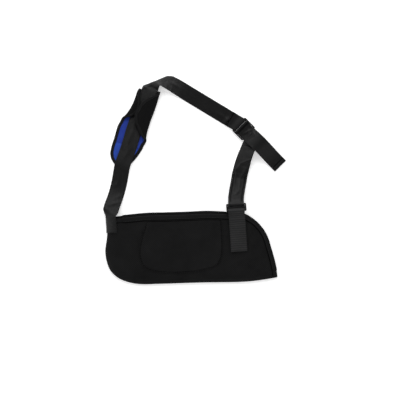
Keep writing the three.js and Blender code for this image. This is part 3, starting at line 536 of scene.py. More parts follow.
def distanceTo(line, places):
    flat = np.asarray(places, float)[..., :2].reshape(-1, 2)
    start, step = line[:-1], np.diff(line, axis=0)
    away = flat[:, None] - start[None]
    share = np.clip((away * step).sum(-1) / (step * step).sum(-1), 0, 1)
    best = np.linalg.norm(away - share[..., None] * step, axis=-1).min(1)
    return best.reshape(np.asarray(places).shape[:-1])


def dentDepth(places):
    x, y = places[..., 0], places[..., 1]
    depth = np.zeros(x.shape)
    for along, across, long, wide, turn, share in frontDents:
        dx, dy = x - along * pouch["length"], y - across * pouch["depth"]
        c, s = math.cos(math.radians(turn)), math.sin(math.radians(turn))
        a, b = (dx * c + dy * s) / (long * pouch["length"]), (dy * c - dx * s) / (wide * pouch["depth"])
        depth += share * pouch["gap"] * np.exp(-2 * (a * a + b * b))
    return depth


def ripples(places):
    # small swells of the cloth as it lies
    flat = places[..., :2].reshape(-1, 2)
    swell = [bump(x, 1.6 * y, pouch["rippleSize"], 1) + 0.4 * bump(x, y, 17, 2) for x, y in flat]
    return pouch["ripple"] * np.array(swell).reshape(places.shape[:-1])


def frontHeight(places, inset=0.0):
    away = distanceTo(sewnLine, places)
    rise = roundOff((away - inset) / (pouch["foldReach"] - inset))
    top = pouch["height"] - inset - pouch["foldHeight"] - dentDepth(places)
    return pouch["foldHeight"] + rise * top + ripples(places) * smooth(away / 22)


def backHeight(places, inset=0.0):
    under = 1 - roundOff((distanceTo(sewnLine, places) - inset) / pouch["foldUnderside"])
    curl = pouch["mouthCurl"] * smooth(2 - distanceTo(mouthLine, places) / pouch["curlReach"])
    return inset + curl + under * (pouch["foldHeight"] - inset - curl)


def mouthPlace(share):
    place = mouthEdge.placeOf(share)
    ahead = mouthEdge.ahead(place)
    inward = np.array([ahead[1], -ahead[0], 0])
    k = min(int(place), len(mouthEdgeRows) - 2)
    drop = mix(mouthEdgeRows[k][2], mouthEdgeRows[k + 1][2], smooth(place - k)) * pouch["frontDrop"]
    point = mouthEdge.at(place)
    return point, inward, point + inward * drop


def panelGrid(inset, isFront):
    rows = []
    margin = inset / mouthEdge.length
    for i in range(pouch["columns"] + 1):
        share = i / pouch["columns"]
        point, inward, front = mouthPlace(margin + (1 - 2 * margin) * share)
        far = front if isFront else point
        place = sewnEdge.placeOf(share)
        ahead = sewnEdge.ahead(place)
        near = sewnEdge.at(place) + inset * np.array([-ahead[1], ahead[0], 0])
        length = np.linalg.norm(far - near)
        curled = 1 - min(2 * pouch["curlReach"], length / 2) / max(length, 1e-6)
        cuts = np.concatenate([
            np.linspace(0, 1, pouch["steps"]) ** 1.7 * curled,
            np.linspace(curled, 1, pouch["curlSteps"] + 1)[1:]])
        if i in (0, pouch["columns"]):
            rows.append(np.repeat(point[None], len(cuts), 0))
        else:
            rows.append(near + (far - near) * cuts[:, None])
    grid = np.array(rows)
    grid[..., 2] = frontHeight(grid, inset) if isFront else backHeight(grid, inset)
    grid[:, 0, 2] = pouch["foldHeight"]
    grid[0, :, 2] = grid[-1, :, 2] = pouch["foldHeight"]
    return grid


def seamDistance(grid):
    # cloth coordinates of a panel: the distance to its own bound edge, and to the sewn edge
    edge = grid[:, -1, :2]
    return np.stack([distanceTo(edge, grid), distanceTo(sewnLine, grid)], -1)


def makePouch():
    frontOuter, frontInner = panelGrid(0, True), panelGrid(pouch["wall"], True)
    backOuter, backInner = panelGrid(0, False), panelGrid(pouch["wall"], False)
    shell = Shell()
    shell.grid(frontOuter, False, seamDistance(frontOuter))
    shell.grid(frontInner, True)
    shell.grid(backOuter, True, seamDistance(backOuter))
    shell.grid(backInner)
    shell.grid(np.stack([frontOuter[:, -1], frontInner[:, -1]], 1))
    shell.grid(np.stack([backOuter[:, -1], backInner[:, -1]], 1), True)
    shell.make("pouch_shell", finish["neoprene"], ["pouch"])


makePouch()
print("pouch is sewn")


def makeBinding(name, node, isFront):
    # tape folded over one panel's edge: its outside, then back along the inside
    start = (webbing["width"] + 2) / mouthEdge.length
    end = 1 - tape["tipGap"] / mouthEdge.length
    height = frontHeight if isFront else backHeight
    outer = clearance + tape["thickness"]
    legs = np.linspace(1, 0, 5)[:-1]
    arc = np.linspace(0, math.pi, 9)
    rings, cloth = [], []
    for share in np.linspace(start, end, tape["steps"]):
        point, inward, front = mouthPlace(share)
        edge = front if isFront else point
        ring, across = [], []
        mid = edge + inward * 0.4
        zTop = float(height(mid[None], 0 if isFront else pouch["wall"])[0])
        zLow = float(height(mid[None], pouch["wall"] if isFront else 0)[0])
        for reach in (outer, clearance):
            swell = tape["swell"] if reach == outer else 0.0
            side = []
            for leg in legs:
                spot = edge + inward * leg * tape["width"]
                z = float(height(spot[None], 0 if isFront else pouch["wall"])[0])
                side.append((*spot[:2], z + reach + swell * math.sin(math.pi * leg)))
            for angle in arc:
                spot = edge - inward * reach * math.sin(angle)
                z = mix(zLow - reach, zTop + reach, 0.5 + 0.5 * math.cos(angle))
                side.append((*spot[:2], z))
            for leg in legs[::-1]:
                spot = edge + inward * leg * tape["width"]
                z = float(height(spot[None], pouch["wall"] if isFront else 0)[0])
                side.append((*spot[:2], z - reach - swell * math.sin(math.pi * leg)))
            ring += side if reach == outer else side[::-1]
            laidOut = np.linspace(0, tape["foldedOut"], len(side))
            across += list(laidOut if reach == outer else laidOut[::-1])
        ring.append(ring[0])
        across.append(across[0])
        rings.append(ring)
        cloth.append([(a, share * mouthEdge.length) for a in across])
    rings, cloth = np.array(rings), np.array(cloth)
    shell = Shell()
    shell.grid(rings, False, cloth)
    half = (rings.shape[1] - 1) // 2
    for row, turned in ((0, True), (-1, False)):
        outside, inside = rings[row, :half], rings[row, half:-1][::-1]
        shell.grid(np.stack([outside, inside], 1), not turned, np.stack([cloth[row, :half]] * 2, 1))
    shell.make(name, finish["bindingTape"], [node])


makeBinding("front_tape", "front_binding", True)
makeBinding("back_tape", "back_binding", False)
print("mouth is bound")

# pocket

pocket = {
    "length": 196, "depth": 124, "thickness": 1.6, "offset": -24, "seamGap": 1.5,
    "columns": 150, "rows": 100, "footRows": 20, "footShare": 0.1, "edgeRound": 2.4,
}
pocketRows = [
    # down, left, right
    (0.00, 0.410, 0.487), (0.16, 0.438, 0.494), (0.34, 0.472, 0.499), (0.50, 0.497, 0.503),
    (0.63, 0.500, 0.500), (0.76, 0.480, 0.485), (0.87, 0.440, 0.445), (0.94, 0.360, 0.360),
    (0.98, 0.250, 0.250), (1.00, 0.120, 0.130),
]

frontEdgeLine = np.array([mouthPlace(share)[2] for share in np.arange(0, 0.7, 0.004)])


def pocketPoint(down, across):
    rows = np.array(pocketRows)
    left, right = np.interp(down, rows[:, 0], rows[:, 1]), np.interp(down, rows[:, 0], rows[:, 2])
    x = pocket["offset"] + mix(-left, right, across) * pocket["length"]
    top = np.interp(x, frontEdgeLine[:, 0], frontEdgeLine[:, 1])
    return x, top - tape["width"] - pocket["seamGap"] - down * pocket["depth"]


def makePocket():
    # the rows lie closer together where the pocket's foot rounds off
    upper = np.linspace(0, 1 - pocket["footShare"], pocket["rows"] - pocket["footRows"])
    lower = 1 - pocket["footShare"] * np.linspace(1, 0, pocket["footRows"] + 1)[1:] ** 1.6
    downs = np.concatenate([upper, lower])
    acrosses = 0.5 - 0.5 * np.cos(np.linspace(0, math.pi, pocket["columns"]))
    grid = np.array([[(*pocketPoint(d, a), 0) for a in acrosses] for d in downs])
    border = np.concatenate([grid[:, 0], grid[-1], grid[::-1, -1], grid[0, ::-1]])[:, :2]
    border = border[np.concatenate([[True], np.linalg.norm(np.diff(border, axis=0), axis=1) > 1e-3])]
    away = distanceTo(border, grid)
    base = frontHeight(grid) + 1.5 * clearance
    groove = np.exp(-((away - pocketInset) / 0.9) ** 2)
    swell = 0.25 + 0.75 * roundOff(away / pocket["edgeRound"]) - 0.45 * groove
    low, high = grid.copy(), grid.copy()
    low[..., 2] = base
    high[..., 2] = base + pocket["thickness"] * swell
    cloth = np.stack([away, grid[..., 1]], -1)
    return sheetPiece("pocket_panel", low, high, cloth, finish["pocketCloth"], ["pocket"])


pocketPanel = makePocket()
print("pocket is sewn on")

# webbing

loop = {
    "height": 318, "sliderTurn": -45, "buckleTurn": 93.9, "buckleTilt": -12, "buckleOverhang": 9.6,
    "sliderPitches": (10.6, 20.4), "bucklePitch": 15.6, "bar": 3.8, "bevel": 0.8,
    "sliderStretch": 1.33, "buckleStretch": 1.48, "tabStretch": 1.42, "spread": 0.05,
}
elbowRunRows = [
    # way, bow, lift
    (0.10, -0.03, 0.90), (0.20, -0.03, 0.62), (0.35, 0.02, 0.22),
    (0.50, 0.05, 0.04), (0.65, 0.05, 0.06), (0.85, 0.01, 0.24),
]
cornerRows = [
    # right, up, roll
    (0.10, 0.16, -10), (0.30, 0.34, -40), (0.50, 0.45, -62), (0.74, 0.51, -62), (1.00, 0.52, -44),
    (1.32, 0.43, -24), (1.70, 0.24, -8),
]
lowerRunRows = [
    # way, bow, lift, roll
    (0.11, -0.09, 0.84, 0), (0.24, -0.13, 0.46, 0), (0.38, -0.145, 0.14, 0), (0.52, -0.17, 0.0, -4),
    (0.65, -0.16, 0.0, -10), (0.79, -0.13, 0.0, -20), (0.90, -0.07, 0.0, -26),
]
strapOnPadRows = [
    # share of the pad, shift to its left
    (-0.02, 0.0), (0.15, 0.2), (0.30, 1.0), (0.45, 2.8), (0.60, 2.8), (0.80, 0.8), (1.00, 0.0),
]
cornerEdgeRows = [
    # place from the head, outer edge x and y, inner edge x and y
    (0.0, -114.7, 377.2, -80.0, 364.9), (1.0, -105.5, 385.0, -77.6, 369.8),
    (2.0, -94.5, 390.0, -75.2, 376.0), (3.0, -82.5, 394.0, -73.2, 381.0),
    (4.0, -69.5, 400.0, -70.2, 380.2), (5.0, -56.5, 405.4, -61.5, 375.2),
    (6.0, -41.5, 404.8, -51.0, 369.4), (7.0, -28.5, 397.0, -40.0, 363.0),
]
turnUnderRows = [
    # right, up, roll
    (0.34, -1.09, -26), (0.50, -0.76, -18), (0.48, -0.50, -8),
]
tailRows = [
    # way, lift
    (0.22, 0.70), (0.33, 1.00), (0.46, 1.00), (0.60, 0.66), (0.76, 0.24), (0.89, 0.04), (1.00, 0.00),
]

strapRest = restGap + webbing["thickness"] / 2
layerRise = webbing["thickness"] + clearance
barReach = math.hypot(loop["bar"] / 2, loop["bar"] / 2 - loop["bevel"])
barLoopRadius = barReach + clearance + webbing["thickness"] / 2
tabLoopRadius = barReach + clearance + tab["thickness"] / 2


def station(middle, forward, roll=0.0):
    # one place along a strap: its middle and the ways that it faces
    level = unit(np.cross((0, 0, 1), forward))
    above = unit(np.cross(forward, level))
    left = level * math.cos(roll) + above * math.sin(roll)
    return {"middle": np.array(middle, float), "forward": np.array(forward, float), "left": left,
            "above": unit(np.cross(forward, left))}


def stationsThrough(places):
    line = SmoothLine([middle for middle, _ in places])
    rolls = [roll for _, roll in places]
    made = []
    for k in range((len(places) - 1) * webbing["stepsEach"] + 1):
        place = k / webbing["stepsEach"]
        i = min(int(place), len(places) - 2)
        roll = math.radians(mix(rolls[i], rolls[i + 1], float(smooth(place - i))))
        middle = line.at(place)
        middle[2] = max(middle[2], strapRest + abs(math.sin(roll)) * webbing["width"] / 2)
        made.append(station(middle, line.ahead(place), roll))
    return made


def acrossShares():
    # places across a strap, closer together towards its edges
    skipped = 0.07 * math.pi
    turn = np.linspace(skipped, math.pi - skipped, webbing["across"])
    return 0.5 + 0.5 * np.cos(turn) / math.cos(skipped)


def acrossStrap(place, width, shares):
    return place["middle"] + place["left"] * ((0.5 - shares) * width)[:, None]


def roundBar(end, radius, stretch, steps=16):
    # a loop round a bar, drawn out by stretch and a little wider so that it fills its window
    turn = []
    for k in range(1, steps + 1):
        angle = math.pi * k / steps
        out = end["forward"] * radius * stretch * math.sin(angle)
        wide = end["left"] * (1 + loop["spread"] * math.sin(angle))
        middle = end["middle"] + end["above"] * radius * (1 - math.cos(angle)) + out
        turn.append({**end, "middle": middle, "left": wide})
    return turn


def layerBack(stations, radius, rise, length):
    # the strap's end laid back along itself after a bar
    middles = np.array([s["middle"] for s in stations][::-1])
    lengths = runLengths(middles)
    order = stations[::-1]
    steps = max(6, round(length / 2.2))
    layer = []
    for k in range(1, steps + 1):
        back = length * k / steps
        i = min(int(np.searchsorted(lengths, back)) - 1, len(order) - 2)
        share = (back - lengths[i]) / (lengths[i + 1] - lengths[i])
        above = unit(mix(order[i]["above"], order[i + 1]["above"], share))
        height = mix(2 * radius, rise, float(smooth(back / (4.5 * radius))))
        layer.append({
            "middle": mix(order[i]["middle"], order[i + 1]["middle"], share) + above * height,
            "left": unit(mix(order[i]["left"], order[i + 1]["left"], share)), "above": above})
    return layer


def creaseHeight(grid, creases):
    # folds of a strap: x, y, turn in degrees, half length, half width, height, least height above the floor
    height = np.zeros(grid.shape[:2])
    for x, y, turn, long, wide, rise, least in creases:
        dx, dy = grid[..., 0] - x, grid[..., 1] - y
        c, s = math.cos(math.radians(turn)), math.sin(math.radians(turn))
        a, b = (dx * c + dy * s) / long, (dy * c - dx * s) / wide
        height += rise * np.exp(-(a * a + b * b)) * (grid[..., 2] > least)
    return height


def shadeAlongLines(cloth, lines):
    # how much painted shade each point gets from lines at seams and at layers' ends: lines from (along,
    # across) to (along, across)
    marks = np.zeros(cloth.shape[:2])
    for ends in lines:
        (v0, u0), (v1, u1) = ends
        away = distanceTo(np.array([(u0, v0), (u1, v1)], float), cloth)
        marks = np.maximum(marks, 1 - smooth(away / webbing["shadeReach"]))
    return marks


def lengthsAlong(grid):
    return runLengths(grid[:, grid.shape[1] // 2])


def webbingPiece(name, grid, shares, width, thickness, slotName, nodes, creases=(), doubled=(), seams=()):
    # doubled holds the stretches that are hemmed, as start, end and rise, and seams the lines where painted
    # shade darkens it
    along = lengthsAlong(grid)
    cloth = np.stack(np.broadcast_arrays(((1 - shares) * width)[None], along[:, None]), -1).astype(float)
    grid = grid + np.array([0, 0, 1]) * creaseHeight(grid, creases)[..., None]
    selvedge = np.minimum(shares, 1 - shares) * width
    profile = 0.55 + 0.45 * roundOff(selvedge / 1.1) + 0.06 * np.exp(-((selvedge - 1.6) / 0.7) ** 2)
    half = thickness / 2 * np.broadcast_to(profile, grid.shape[:2])
    extra = np.zeros(grid.shape[:2])
    for start, end, rise in doubled:
        extra += rise * (smooth((along - start) / 1.2) * smooth((end - along) / 1.2))[:, None]
    low, high = offsetGrid(grid, -half - extra), offsetGrid(grid, half)
    sheetPiece(name, low, high, cloth, finish[slotName], nodes, marks=shadeAlongLines(cloth, seams))
    print(name, "is", round(along[-1]), "mm long")
    return low, high, cloth


sliderAngle = math.radians(loop["sliderTurn"])
sliderForward = np.array([math.cos(sliderAngle), math.sin(sliderAngle), 0])
sliderHeight = strapRest + barLoopRadius
sliderMiddle = np.array([0.306 * pouch["length"], pouch["depth"] / 2 + 0.61 * loop["height"], sliderHeight])
sliderSpan = sum(loop["sliderPitches"])
sliderBars = [sliderMiddle + sliderForward * (along - sliderSpan / 2)
              for along in (0, loop["sliderPitches"][0], sliderSpan)]
turnAngle, tiltAngle = math.radians(loop["buckleTurn"]), math.radians(loop["buckleTilt"])
buckleForward = np.array([
    math.cos(turnAngle) * math.cos(tiltAngle),
    math.sin(turnAngle) * math.cos(tiltAngle), math.sin(tiltAngle)])
tabLevel = pouch["height"] + 2 * clearance + tape["thickness"] + tab["thickness"] / 2
buckleLowerBar = np.array([
    0.263 * pouch["length"], pouch["depth"] / 2 + loop["buckleOverhang"] - loop["bucklePitch"] / 2,
    tabLevel + tabLoopRadius])
buckleUpperBar = buckleLowerBar + buckleForward * loop["bucklePitch"]

# the strap runs through the pad, so the pad's sizes come first
pad = {
    "length": 185, "width": 74, "shell": 2.2, "lining": 2.3, "layerGap": 0.4, "hem": 7.4,
    "turn": 70.1, "footSkew": 0.38, "headSkew": 0.2, "skewReach": 0.26, "puff": 0.6, "bridge": 0.6,
    "rows": 150, "flatSteps": 9, "turnSteps": 10, "wingSteps": 10, "clothMiddle": 80,
    # how far in the sheets' edges and the thread lie, as shares of the hem
    "shellIn": 0.5, "liningIn": 0.6, "threadIn": 0.8,
}
padRows = [
    # at, left, right, left fold, right fold
    (0.000, 0.292, 0.291, 0.03, 0.03), (0.033, 0.387, 0.324, 0.03, 0.03),
    (0.070, 0.482, 0.361, 0.03, 0.03), (0.123, 0.560, 0.403, 0.03, 0.03),
    (0.190, 0.591, 0.440, 0.03, 0.03), (0.257, 0.596, 0.475, 0.03, 0.03),
    (0.313, 0.607, 0.478, 0.03, 0.03), (0.360, 0.615, 0.459, 0.03, 0.09),
    (0.411, 0.624, 0.419, 0.03, 0.25), (0.442, 0.627, 0.403, 0.03, 0.32),
    (0.503, 0.595, 0.381, 0.03, 0.43), (0.540, 0.540, 0.377, 0.08, 0.53),
    (0.575, 0.481, 0.373, 0.20, 0.58), (0.608, 0.446, 0.370, 0.29, 0.61),
    (0.641, 0.419, 0.368, 0.33, 0.65), (0.702, 0.381, 0.370, 0.38, 0.62),
    (0.772, 0.358, 0.374, 0.35, 0.60), (0.838, 0.354, 0.369, 0.29, 0.53),
    (0.890, 0.358, 0.364, 0.24, 0.41), (0.940, 0.362, 0.354, 0.20, 0.26),
    (0.972, 0.350, 0.345, 0.17, 0.16), (1.000, 0.332, 0.345, 0.13, 0.10),
]

padForward = np.array([math.cos(math.radians(pad["turn"])), math.sin(math.radians(pad["turn"])), 0])
padRight = np.array([padForward[1], -padForward[0], 0])
padFoot = np.array([-0.396 * pouch["length"], pouch["depth"] / 2 + 0.35 * loop["height"], 0])
padMiddle = restGap + pad["shell"] + pad["layerGap"] / 2
padInside = pad["layerGap"] / 2 + pad["lining"]
padOutside = pad["layerGap"] / 2 + pad["shell"]
strapOnPad = padMiddle + padInside + pad["bridge"] + webbing["thickness"] / 2
leftWingHeight = strapOnPad + webbing["thickness"] / 2 + clearance + pad["puff"] + padInside
rightWingHeight = leftWingHeight + 1
rightWingOver = leftWingHeight + padOutside + clearance + padInside

shares = acrossShares()


def elbowSection(y):
    # the strap's sewn end lies on the front panel and bends round the pouch's left edge
    lift = clearance + webbing["thickness"] / 2
    below = np.nonzero(sewnLine[1:, 1] <= y)[0]
    edge = sewnLine[below[0] + 1, 0] if len(below) else sewnLine[0, 0]
    run = edge + 1.4 * webbing["width"] * np.linspace(0, 1, webbing["elbowSteps"]) ** 2
    surface = np.stack([run, np.full_like(run, y), np.zeros_like(run)], 1)
    surface[:, 2] = frontHeight(surface)
    surface[0, 2] = pouch["foldHeight"]
    slope = np.gradient(surface, axis=0)
    slope /= np.linalg.norm(slope, axis=1)[:, None]
    offset = surface + lift * np.stack([-slope[:, 2], np.zeros_like(run), slope[:, 0]], 1)
    lengths = runLengths(offset)
    wanted = shares * webbing["sewnWidth"]
    return np.stack([np.interp(wanted, lengths, offset[:, k]) for k in range(3)], 1)


def gatheredCorner(section, past):
    # at the head of the loop the strap fans round its gathered inner edge
    rows = np.array(cornerEdgeRows)
    hold = float(smooth(past / 1.3) * smooth((rows[-1, 0] - past) / 1.2))
    if hold == 0:
        return section
    outerX, outerY, innerX, innerY = [np.interp(past, rows[:, 0], rows[:, c]) for c in (1, 2, 3, 4)]
    held = section.copy()
    held[:, 0] = mix(outerX, innerX, shares)
    held[:, 1] = mix(outerY, innerY, shares)
    held[:, 2] = mix(strapRest, held[:, 2], webbing["cornerRise"])
    return mix(section, held, hold)


def makeShoulderStrap():
    cornerY = sewnEdgeRows[0][1] * pouch["depth"] + 2
    sections = [elbowSection(cornerY - webbing["sewnElbow"] * (1 - k / 12)) for k in range(13)]
    corner = sections[-1]
    start = corner[len(shares) // 2]
    foot = padFoot + (0, 0, strapOnPad)
    head = foot + padForward * pad["length"]
    places = [(start, 0)]
    for way, bow, lift in elbowRunRows:
        middle = mix(start, foot, way)
        middle[0] += bow * webbing["width"]
        middle[2] = strapRest + lift * (start[2] - strapRest)
        places.append((middle, 0))
    for share, shift in strapOnPadRows:
        places.append((foot + padForward * share * pad["length"] - padRight * shift, 0))
    cornerStart = len(places) - 1
    for right, up, roll in cornerRows:
        middle = head + np.array([right, up, 0]) * webbing["width"]
        onEdge = strapRest + abs(math.sin(math.radians(roll))) * webbing["width"] / 2
        middle[2] = max(onEdge, strapOnPad * (1 - right))
        places.append((middle, roll))
    firstBar = sliderBars[0] * (1, 1, 0) + (0, 0, strapRest)
    last = places[-1][0] * (1, 1, 0) + (0, 0, strapRest)
    places += [(mix(last, firstBar, way), 0) for way in (0.2, 0.55, 0.86)]
    stations = stationsThrough(places)
    stations.append(station(firstBar, sliderForward))
    blendSteps = webbing["stepsEach"] * 1.5
    for k, place in enumerate(stations[1:], 1):
        moved = corner + (place["middle"] - start)
        free = acrossStrap(place, webbing["width"], shares)
        free = gatheredCorner(free, k / webbing["stepsEach"] - cornerStart)
        sections.append(mix(moved, free, float(smooth(k / blendSteps))))
    turnBack = roundBar(stations[-1], barLoopRadius, loop["sliderStretch"])
    turnBack += layerBack(stations, barLoopRadius, layerRise, webbing["sewnBack"])
    sections += [acrossStrap(place, webbing["width"], shares) for place in turnBack]
    grid = np.array(sections)
    length = lengthsAlong(grid)[-1]
    # painted shade in lines across the strap: at the end of its sewn-back layer and by its sewn end on the
    # pouch
    seams = [((along, 0), (along, webbing["width"])) for along in (length, length - 1.5, 1)]
    return webbingPiece("shoulder_webbing", grid, shares, webbing["width"], webbing["thickness"],
                        "webbing", ["shoulder_strap"], shoulderCreases, seams=seams)


# x, y, turn, half length, half width, height, least height above the floor
shoulderCreases = [
    (-184, 104, 14, 16, 5, 1.3, 0), (-178, 117, 24, 13, 4, 0.7, 0), (-176, 150, 50, 12, 5, 0.7, 0),
    (-170, 168, 80, 15, 4, 0.5, 0), (-143, 262, 70, 24, 5, 0.8, 0), (-150, 225, 60, 18, 5, 0.6, 0),
    (-98, 383, 24, 13, 2.4, 1.0, 0), (-60, 396, 14, 12, 2.2, 0.9, 0), (-40, 385, -30, 14, 3, 0.6, 0),
    (84, 300, 52, 9, 4.2, 2.4, 0), (70, 312, -32, 16, 4, 0.5, 0),
]
lowerCreases = [
    (113, 192, 50, 8, 2.2, 3.1, 0), (128, 203, 22, 12, 2.2, 3.5, 0), (133, 237, -20, 9, 3.0, 2.8, 0),
    (104, 166, 82, 14, 2.0, 1.5, 0), (115, 150, 86, 9, 2.4, 1.4, 0), (124, 176, 60, 12, 2.6, 1.3, 0),
    (108, 130, 40, 8, 2.8, 1.4, 0),
    (133.0, 273.5, 30, 6.5, 1.8, 3.0, 5), (136.8, 269.3, -78, 7.3, 1.6, 3.0, 5),
    (140.8, 268.1, 48, 8.0, 1.7, 3.0, 5), (147.4, 269.0, -76, 5.3, 1.6, 2.6, 5),
    (142, 258, 40, 10, 3, -0.8, 5),
]

# what is sewn in the adjusting strap: its tail's hem, and the two seams along its sewn-back end, drawn only
# as lines of painted shade
sewn = {"hem": 11, "hemSeam": 10, "hemRise": 1.0, "sideInset": 5.5, "sideStart": 4, "sideEnd": 70}


def makeAdjustingStrap():
    buckleEnd = station(buckleUpperBar, buckleForward)
    buckleEnd["middle"] = buckleEnd["middle"] - buckleEnd["above"] * barLoopRadius
    underSlider, middleBar, lastBar = [
        bar * (1, 1, 0) + (0, 0, strapRest) for bar in (sliderMiddle, sliderBars[1], sliderBars[2])]
    target = underSlider + np.array([turnUnderRows[0][0], turnUnderRows[0][1], 0]) * webbing["width"]
    places = [(buckleEnd["middle"], 0)]
    for way, bow, lift, roll in lowerRunRows:
        middle = mix(buckleEnd["middle"], target, way)
        middle[0] += bow * webbing["width"]
        middle[2] = strapRest + lift * (buckleEnd["middle"][2] - strapRest)
        places.append((middle, roll))
    for right, up, roll in turnUnderRows:
        places.append((underSlider + np.array([right, up, 0]) * webbing["width"], roll))
    places += [(mix(lastBar, middleBar, share), 0) for share in (0, 0.5)]
    run = stationsThrough(places)
    run[0] = buckleEnd
    run.append(station(middleBar, -sliderForward))
    endLoop = roundBar({**buckleEnd, "forward": -buckleForward}, barLoopRadius, loop["buckleStretch"])[::-1]
    endLayer = layerBack(run[::-1], barLoopRadius, layerRise, webbing["sewnBackLower"])[::-1]
    sliderLoop = roundBar(run[-1], barLoopRadius, loop["sliderStretch"])
    over = sliderHeight + barLoopRadius
    tailPlaces = [(bar * (1, 1, 0) + (0, 0, over), 0) for bar in (middleBar, lastBar)]
    for way, lift in tailRows:
        middle = sliderMiddle + sliderForward * way * webbing["tail"]
        middle[2] = strapRest + lift * webbing["tailArch"]
        tailPlaces.append((middle, 0))
    tail = stationsThrough(tailPlaces)[1:]
    for place in tail:
        place["left"] = -place["left"]
    every = endLayer + endLoop + run + sliderLoop + tail
    grid = np.array([acrossStrap(place, webbing["width"], shares) for place in every])
    lengths = lengthsAlong(grid)
    length, inSlot = lengths[-1], lengths[len(every) - len(tail)]
    # painted shade in lines: across the strap at its tail's hem seam and either side of where it leaves the
    # slider's middle bar, and along its sewn-back end
    shadeLines = (length - sewn["hemSeam"], inSlot - 1, inSlot + 1.5)
    seams = [((along, 0), (along, webbing["width"])) for along in shadeLines]
    for across in (sewn["sideInset"], webbing["width"] - sewn["sideInset"]):
        seams.append(((sewn["sideStart"], across), (sewn["sideEnd"], across)))
    hem = (length - sewn["hem"], length + sewn["hem"], sewn["hemRise"])
    return webbingPiece("adjusting_webbing", grid, shares, webbing["width"], webbing["thickness"], "webbing",
                        ["adjusting_strap"], lowerCreases, [hem], seams)


def makeTab():
    bar = station(buckleLowerBar, unit((buckleForward[0], buckleForward[1], 0)))
    bar["middle"] = bar["middle"] - bar["above"] * tabLoopRadius
    edgeY = float(np.interp(buckleLowerBar[0], frontEdgeLine[:, 0], frontEdgeLine[:, 1]))
    # the tab lies on the panel and climbs onto the binding just before it
    climbStart = edgeY - tape["width"] - tab["climbFrom"]
    middles = []
    for k in range(tab["steps"]):
        middle = bar["middle"] - bar["forward"] * tab["length"] * (1 - k / tab["steps"])
        onBinding = float(smooth((middle[1] - climbStart) / tab["climb"]))
        onPanel = float(frontHeight(middle[None])[0]) + clearance + tab["thickness"] / 2
        middle[2] = mix(onPanel, bar["middle"][2], onBinding)
        middles.append(middle)
    middles.append(bar["middle"].copy())
    middles = np.array(middles)
    aheads = unit(np.gradient(middles, axis=0))
    run = [station(m, a) for m, a in zip(middles, aheads)]
    run[-1] = bar
    every = run + roundBar(bar, tabLoopRadius, loop["tabStretch"]) + layerBack(
        run, tabLoopRadius, tab["thickness"] + clearance, tab["length"] - 1)
    grid = np.array([acrossStrap(place, tab["width"], shares) for place in every])
    return webbingPiece("ribbed_tab", grid, shares, tab["width"], tab["thickness"],
                        "ribbedWebbing", ["buckle_tab"])


_, shoulderTop, shoulderCloth = makeShoulderStrap()
adjustingUnder, adjustingTop, adjustingCloth = makeAdjustingStrap()
_, tabTop, tabCloth = makeTab()
print("webbing is laid")

# shoulder pad


def padColumn(column, at):
    rows = np.array(padRows)
    return np.interp(at, rows[:, 0], rows[:, column])


def softened(values, reach):
    kernel = np.hanning(2 * reach + 3)[1:-1]
    padded = np.concatenate([np.full(reach, values[0]), values, np.full(reach, values[-1])])
    return np.convolve(padded, kernel / kernel.sum(), "valid")


padPlaces = np.linspace(0, 1, 401)
padShape = {name: softened(padColumn(k, padPlaces), 7) for k, name in
            ((1, "left"), (2, "right"), (3, "leftFold"), (4, "rightFold"))}
for name, k in (("left", 1), ("right", 2)):
    padShape[name][0] = padRows[0][k]


def padSide(at, margin, isLeft):
    # points of one side of a section, from the centreline outwards
    side = "left" if isLeft else "right"
    halfWidth = np.interp(at, padPlaces, padShape[side]) * pad["width"]
    fold = np.interp(at, padPlaces, padShape[side + "Fold"]) * pad["width"]
    wingHeight = leftWingHeight if isLeft else rightWingHeight
    overHeight = leftWingHeight if isLeft else rightWingOver
    radius = (wingHeight - padMiddle) / 2
    flat = halfWidth - padOutside - radius
    wing = max(fold - math.pi * radius, 0.25 * fold)
    turn = fold - wing
    cuts = np.concatenate([
        flat * np.linspace(0, 1, pad["flatSteps"] + 1)[1:],
        flat + turn * np.linspace(0, 1, pad["turnSteps"] + 1)[1:],
        flat + turn + wing * np.linspace(0, 1, pad["wingSteps"] + 1)[1:]])
    cuts *= 1 - margin / cuts[-1]
    angle = np.clip((cuts - flat) / radius, 0, math.pi)
    beyond = np.maximum(cuts - flat - math.pi * radius, 0)
    out = np.where(cuts < flat, cuts, flat + radius * np.sin(angle) - beyond)
    height = padMiddle + radius * (1 - np.cos(angle))
    rise = smooth(1.15 * (flat - out) / flat)
    height = np.where(beyond > 0, mix(wingHeight, overHeight, rise), height)
    return (-out if isLeft else out), height, (-cuts if isLeft else cuts)


def padGrid(margin):
    near = margin / pad["length"]
    skipped = 0.08 * math.pi
    grid, cloth = [], []
    for k in range(pad["rows"] + 1):
        turn = mix(skipped, math.pi - skipped, k / pad["rows"])
        share = 0.5 - 0.5 * math.cos(turn) / math.cos(skipped)
        at = near + share * (1 - 2 * near)
        rightOut, rightHeight, rightCut = padSide(at, margin, False)
        leftOut, leftHeight, leftCut = padSide(at, margin, True)
        out = np.concatenate([rightOut[::-1], [0], leftOut])
        height = np.concatenate([rightHeight[::-1], [padMiddle], leftHeight])
        cut = np.concatenate([rightCut[::-1], [0], leftCut])
        skew = pad["footSkew"] * max(0, 1 - at / pad["skewReach"]) + pad["headSkew"] * max(
            0, 1 - (1 - at) / pad["skewReach"])
        along = at * pad["length"] + skew * out
        points = padFoot + along[:, None] * padForward + out[:, None] * padRight
        points[:, 2] = height
        grid.append(points)
        cloth.append(np.stack([cut + pad["clothMiddle"], along], 1))
    return np.array(grid), np.array(cloth)


def borderOf(grid):
    return np.concatenate([grid[:-1, 0], grid[-1, :-1], grid[:0:-1, -1], grid[0, :0:-1], grid[:1, 0]])


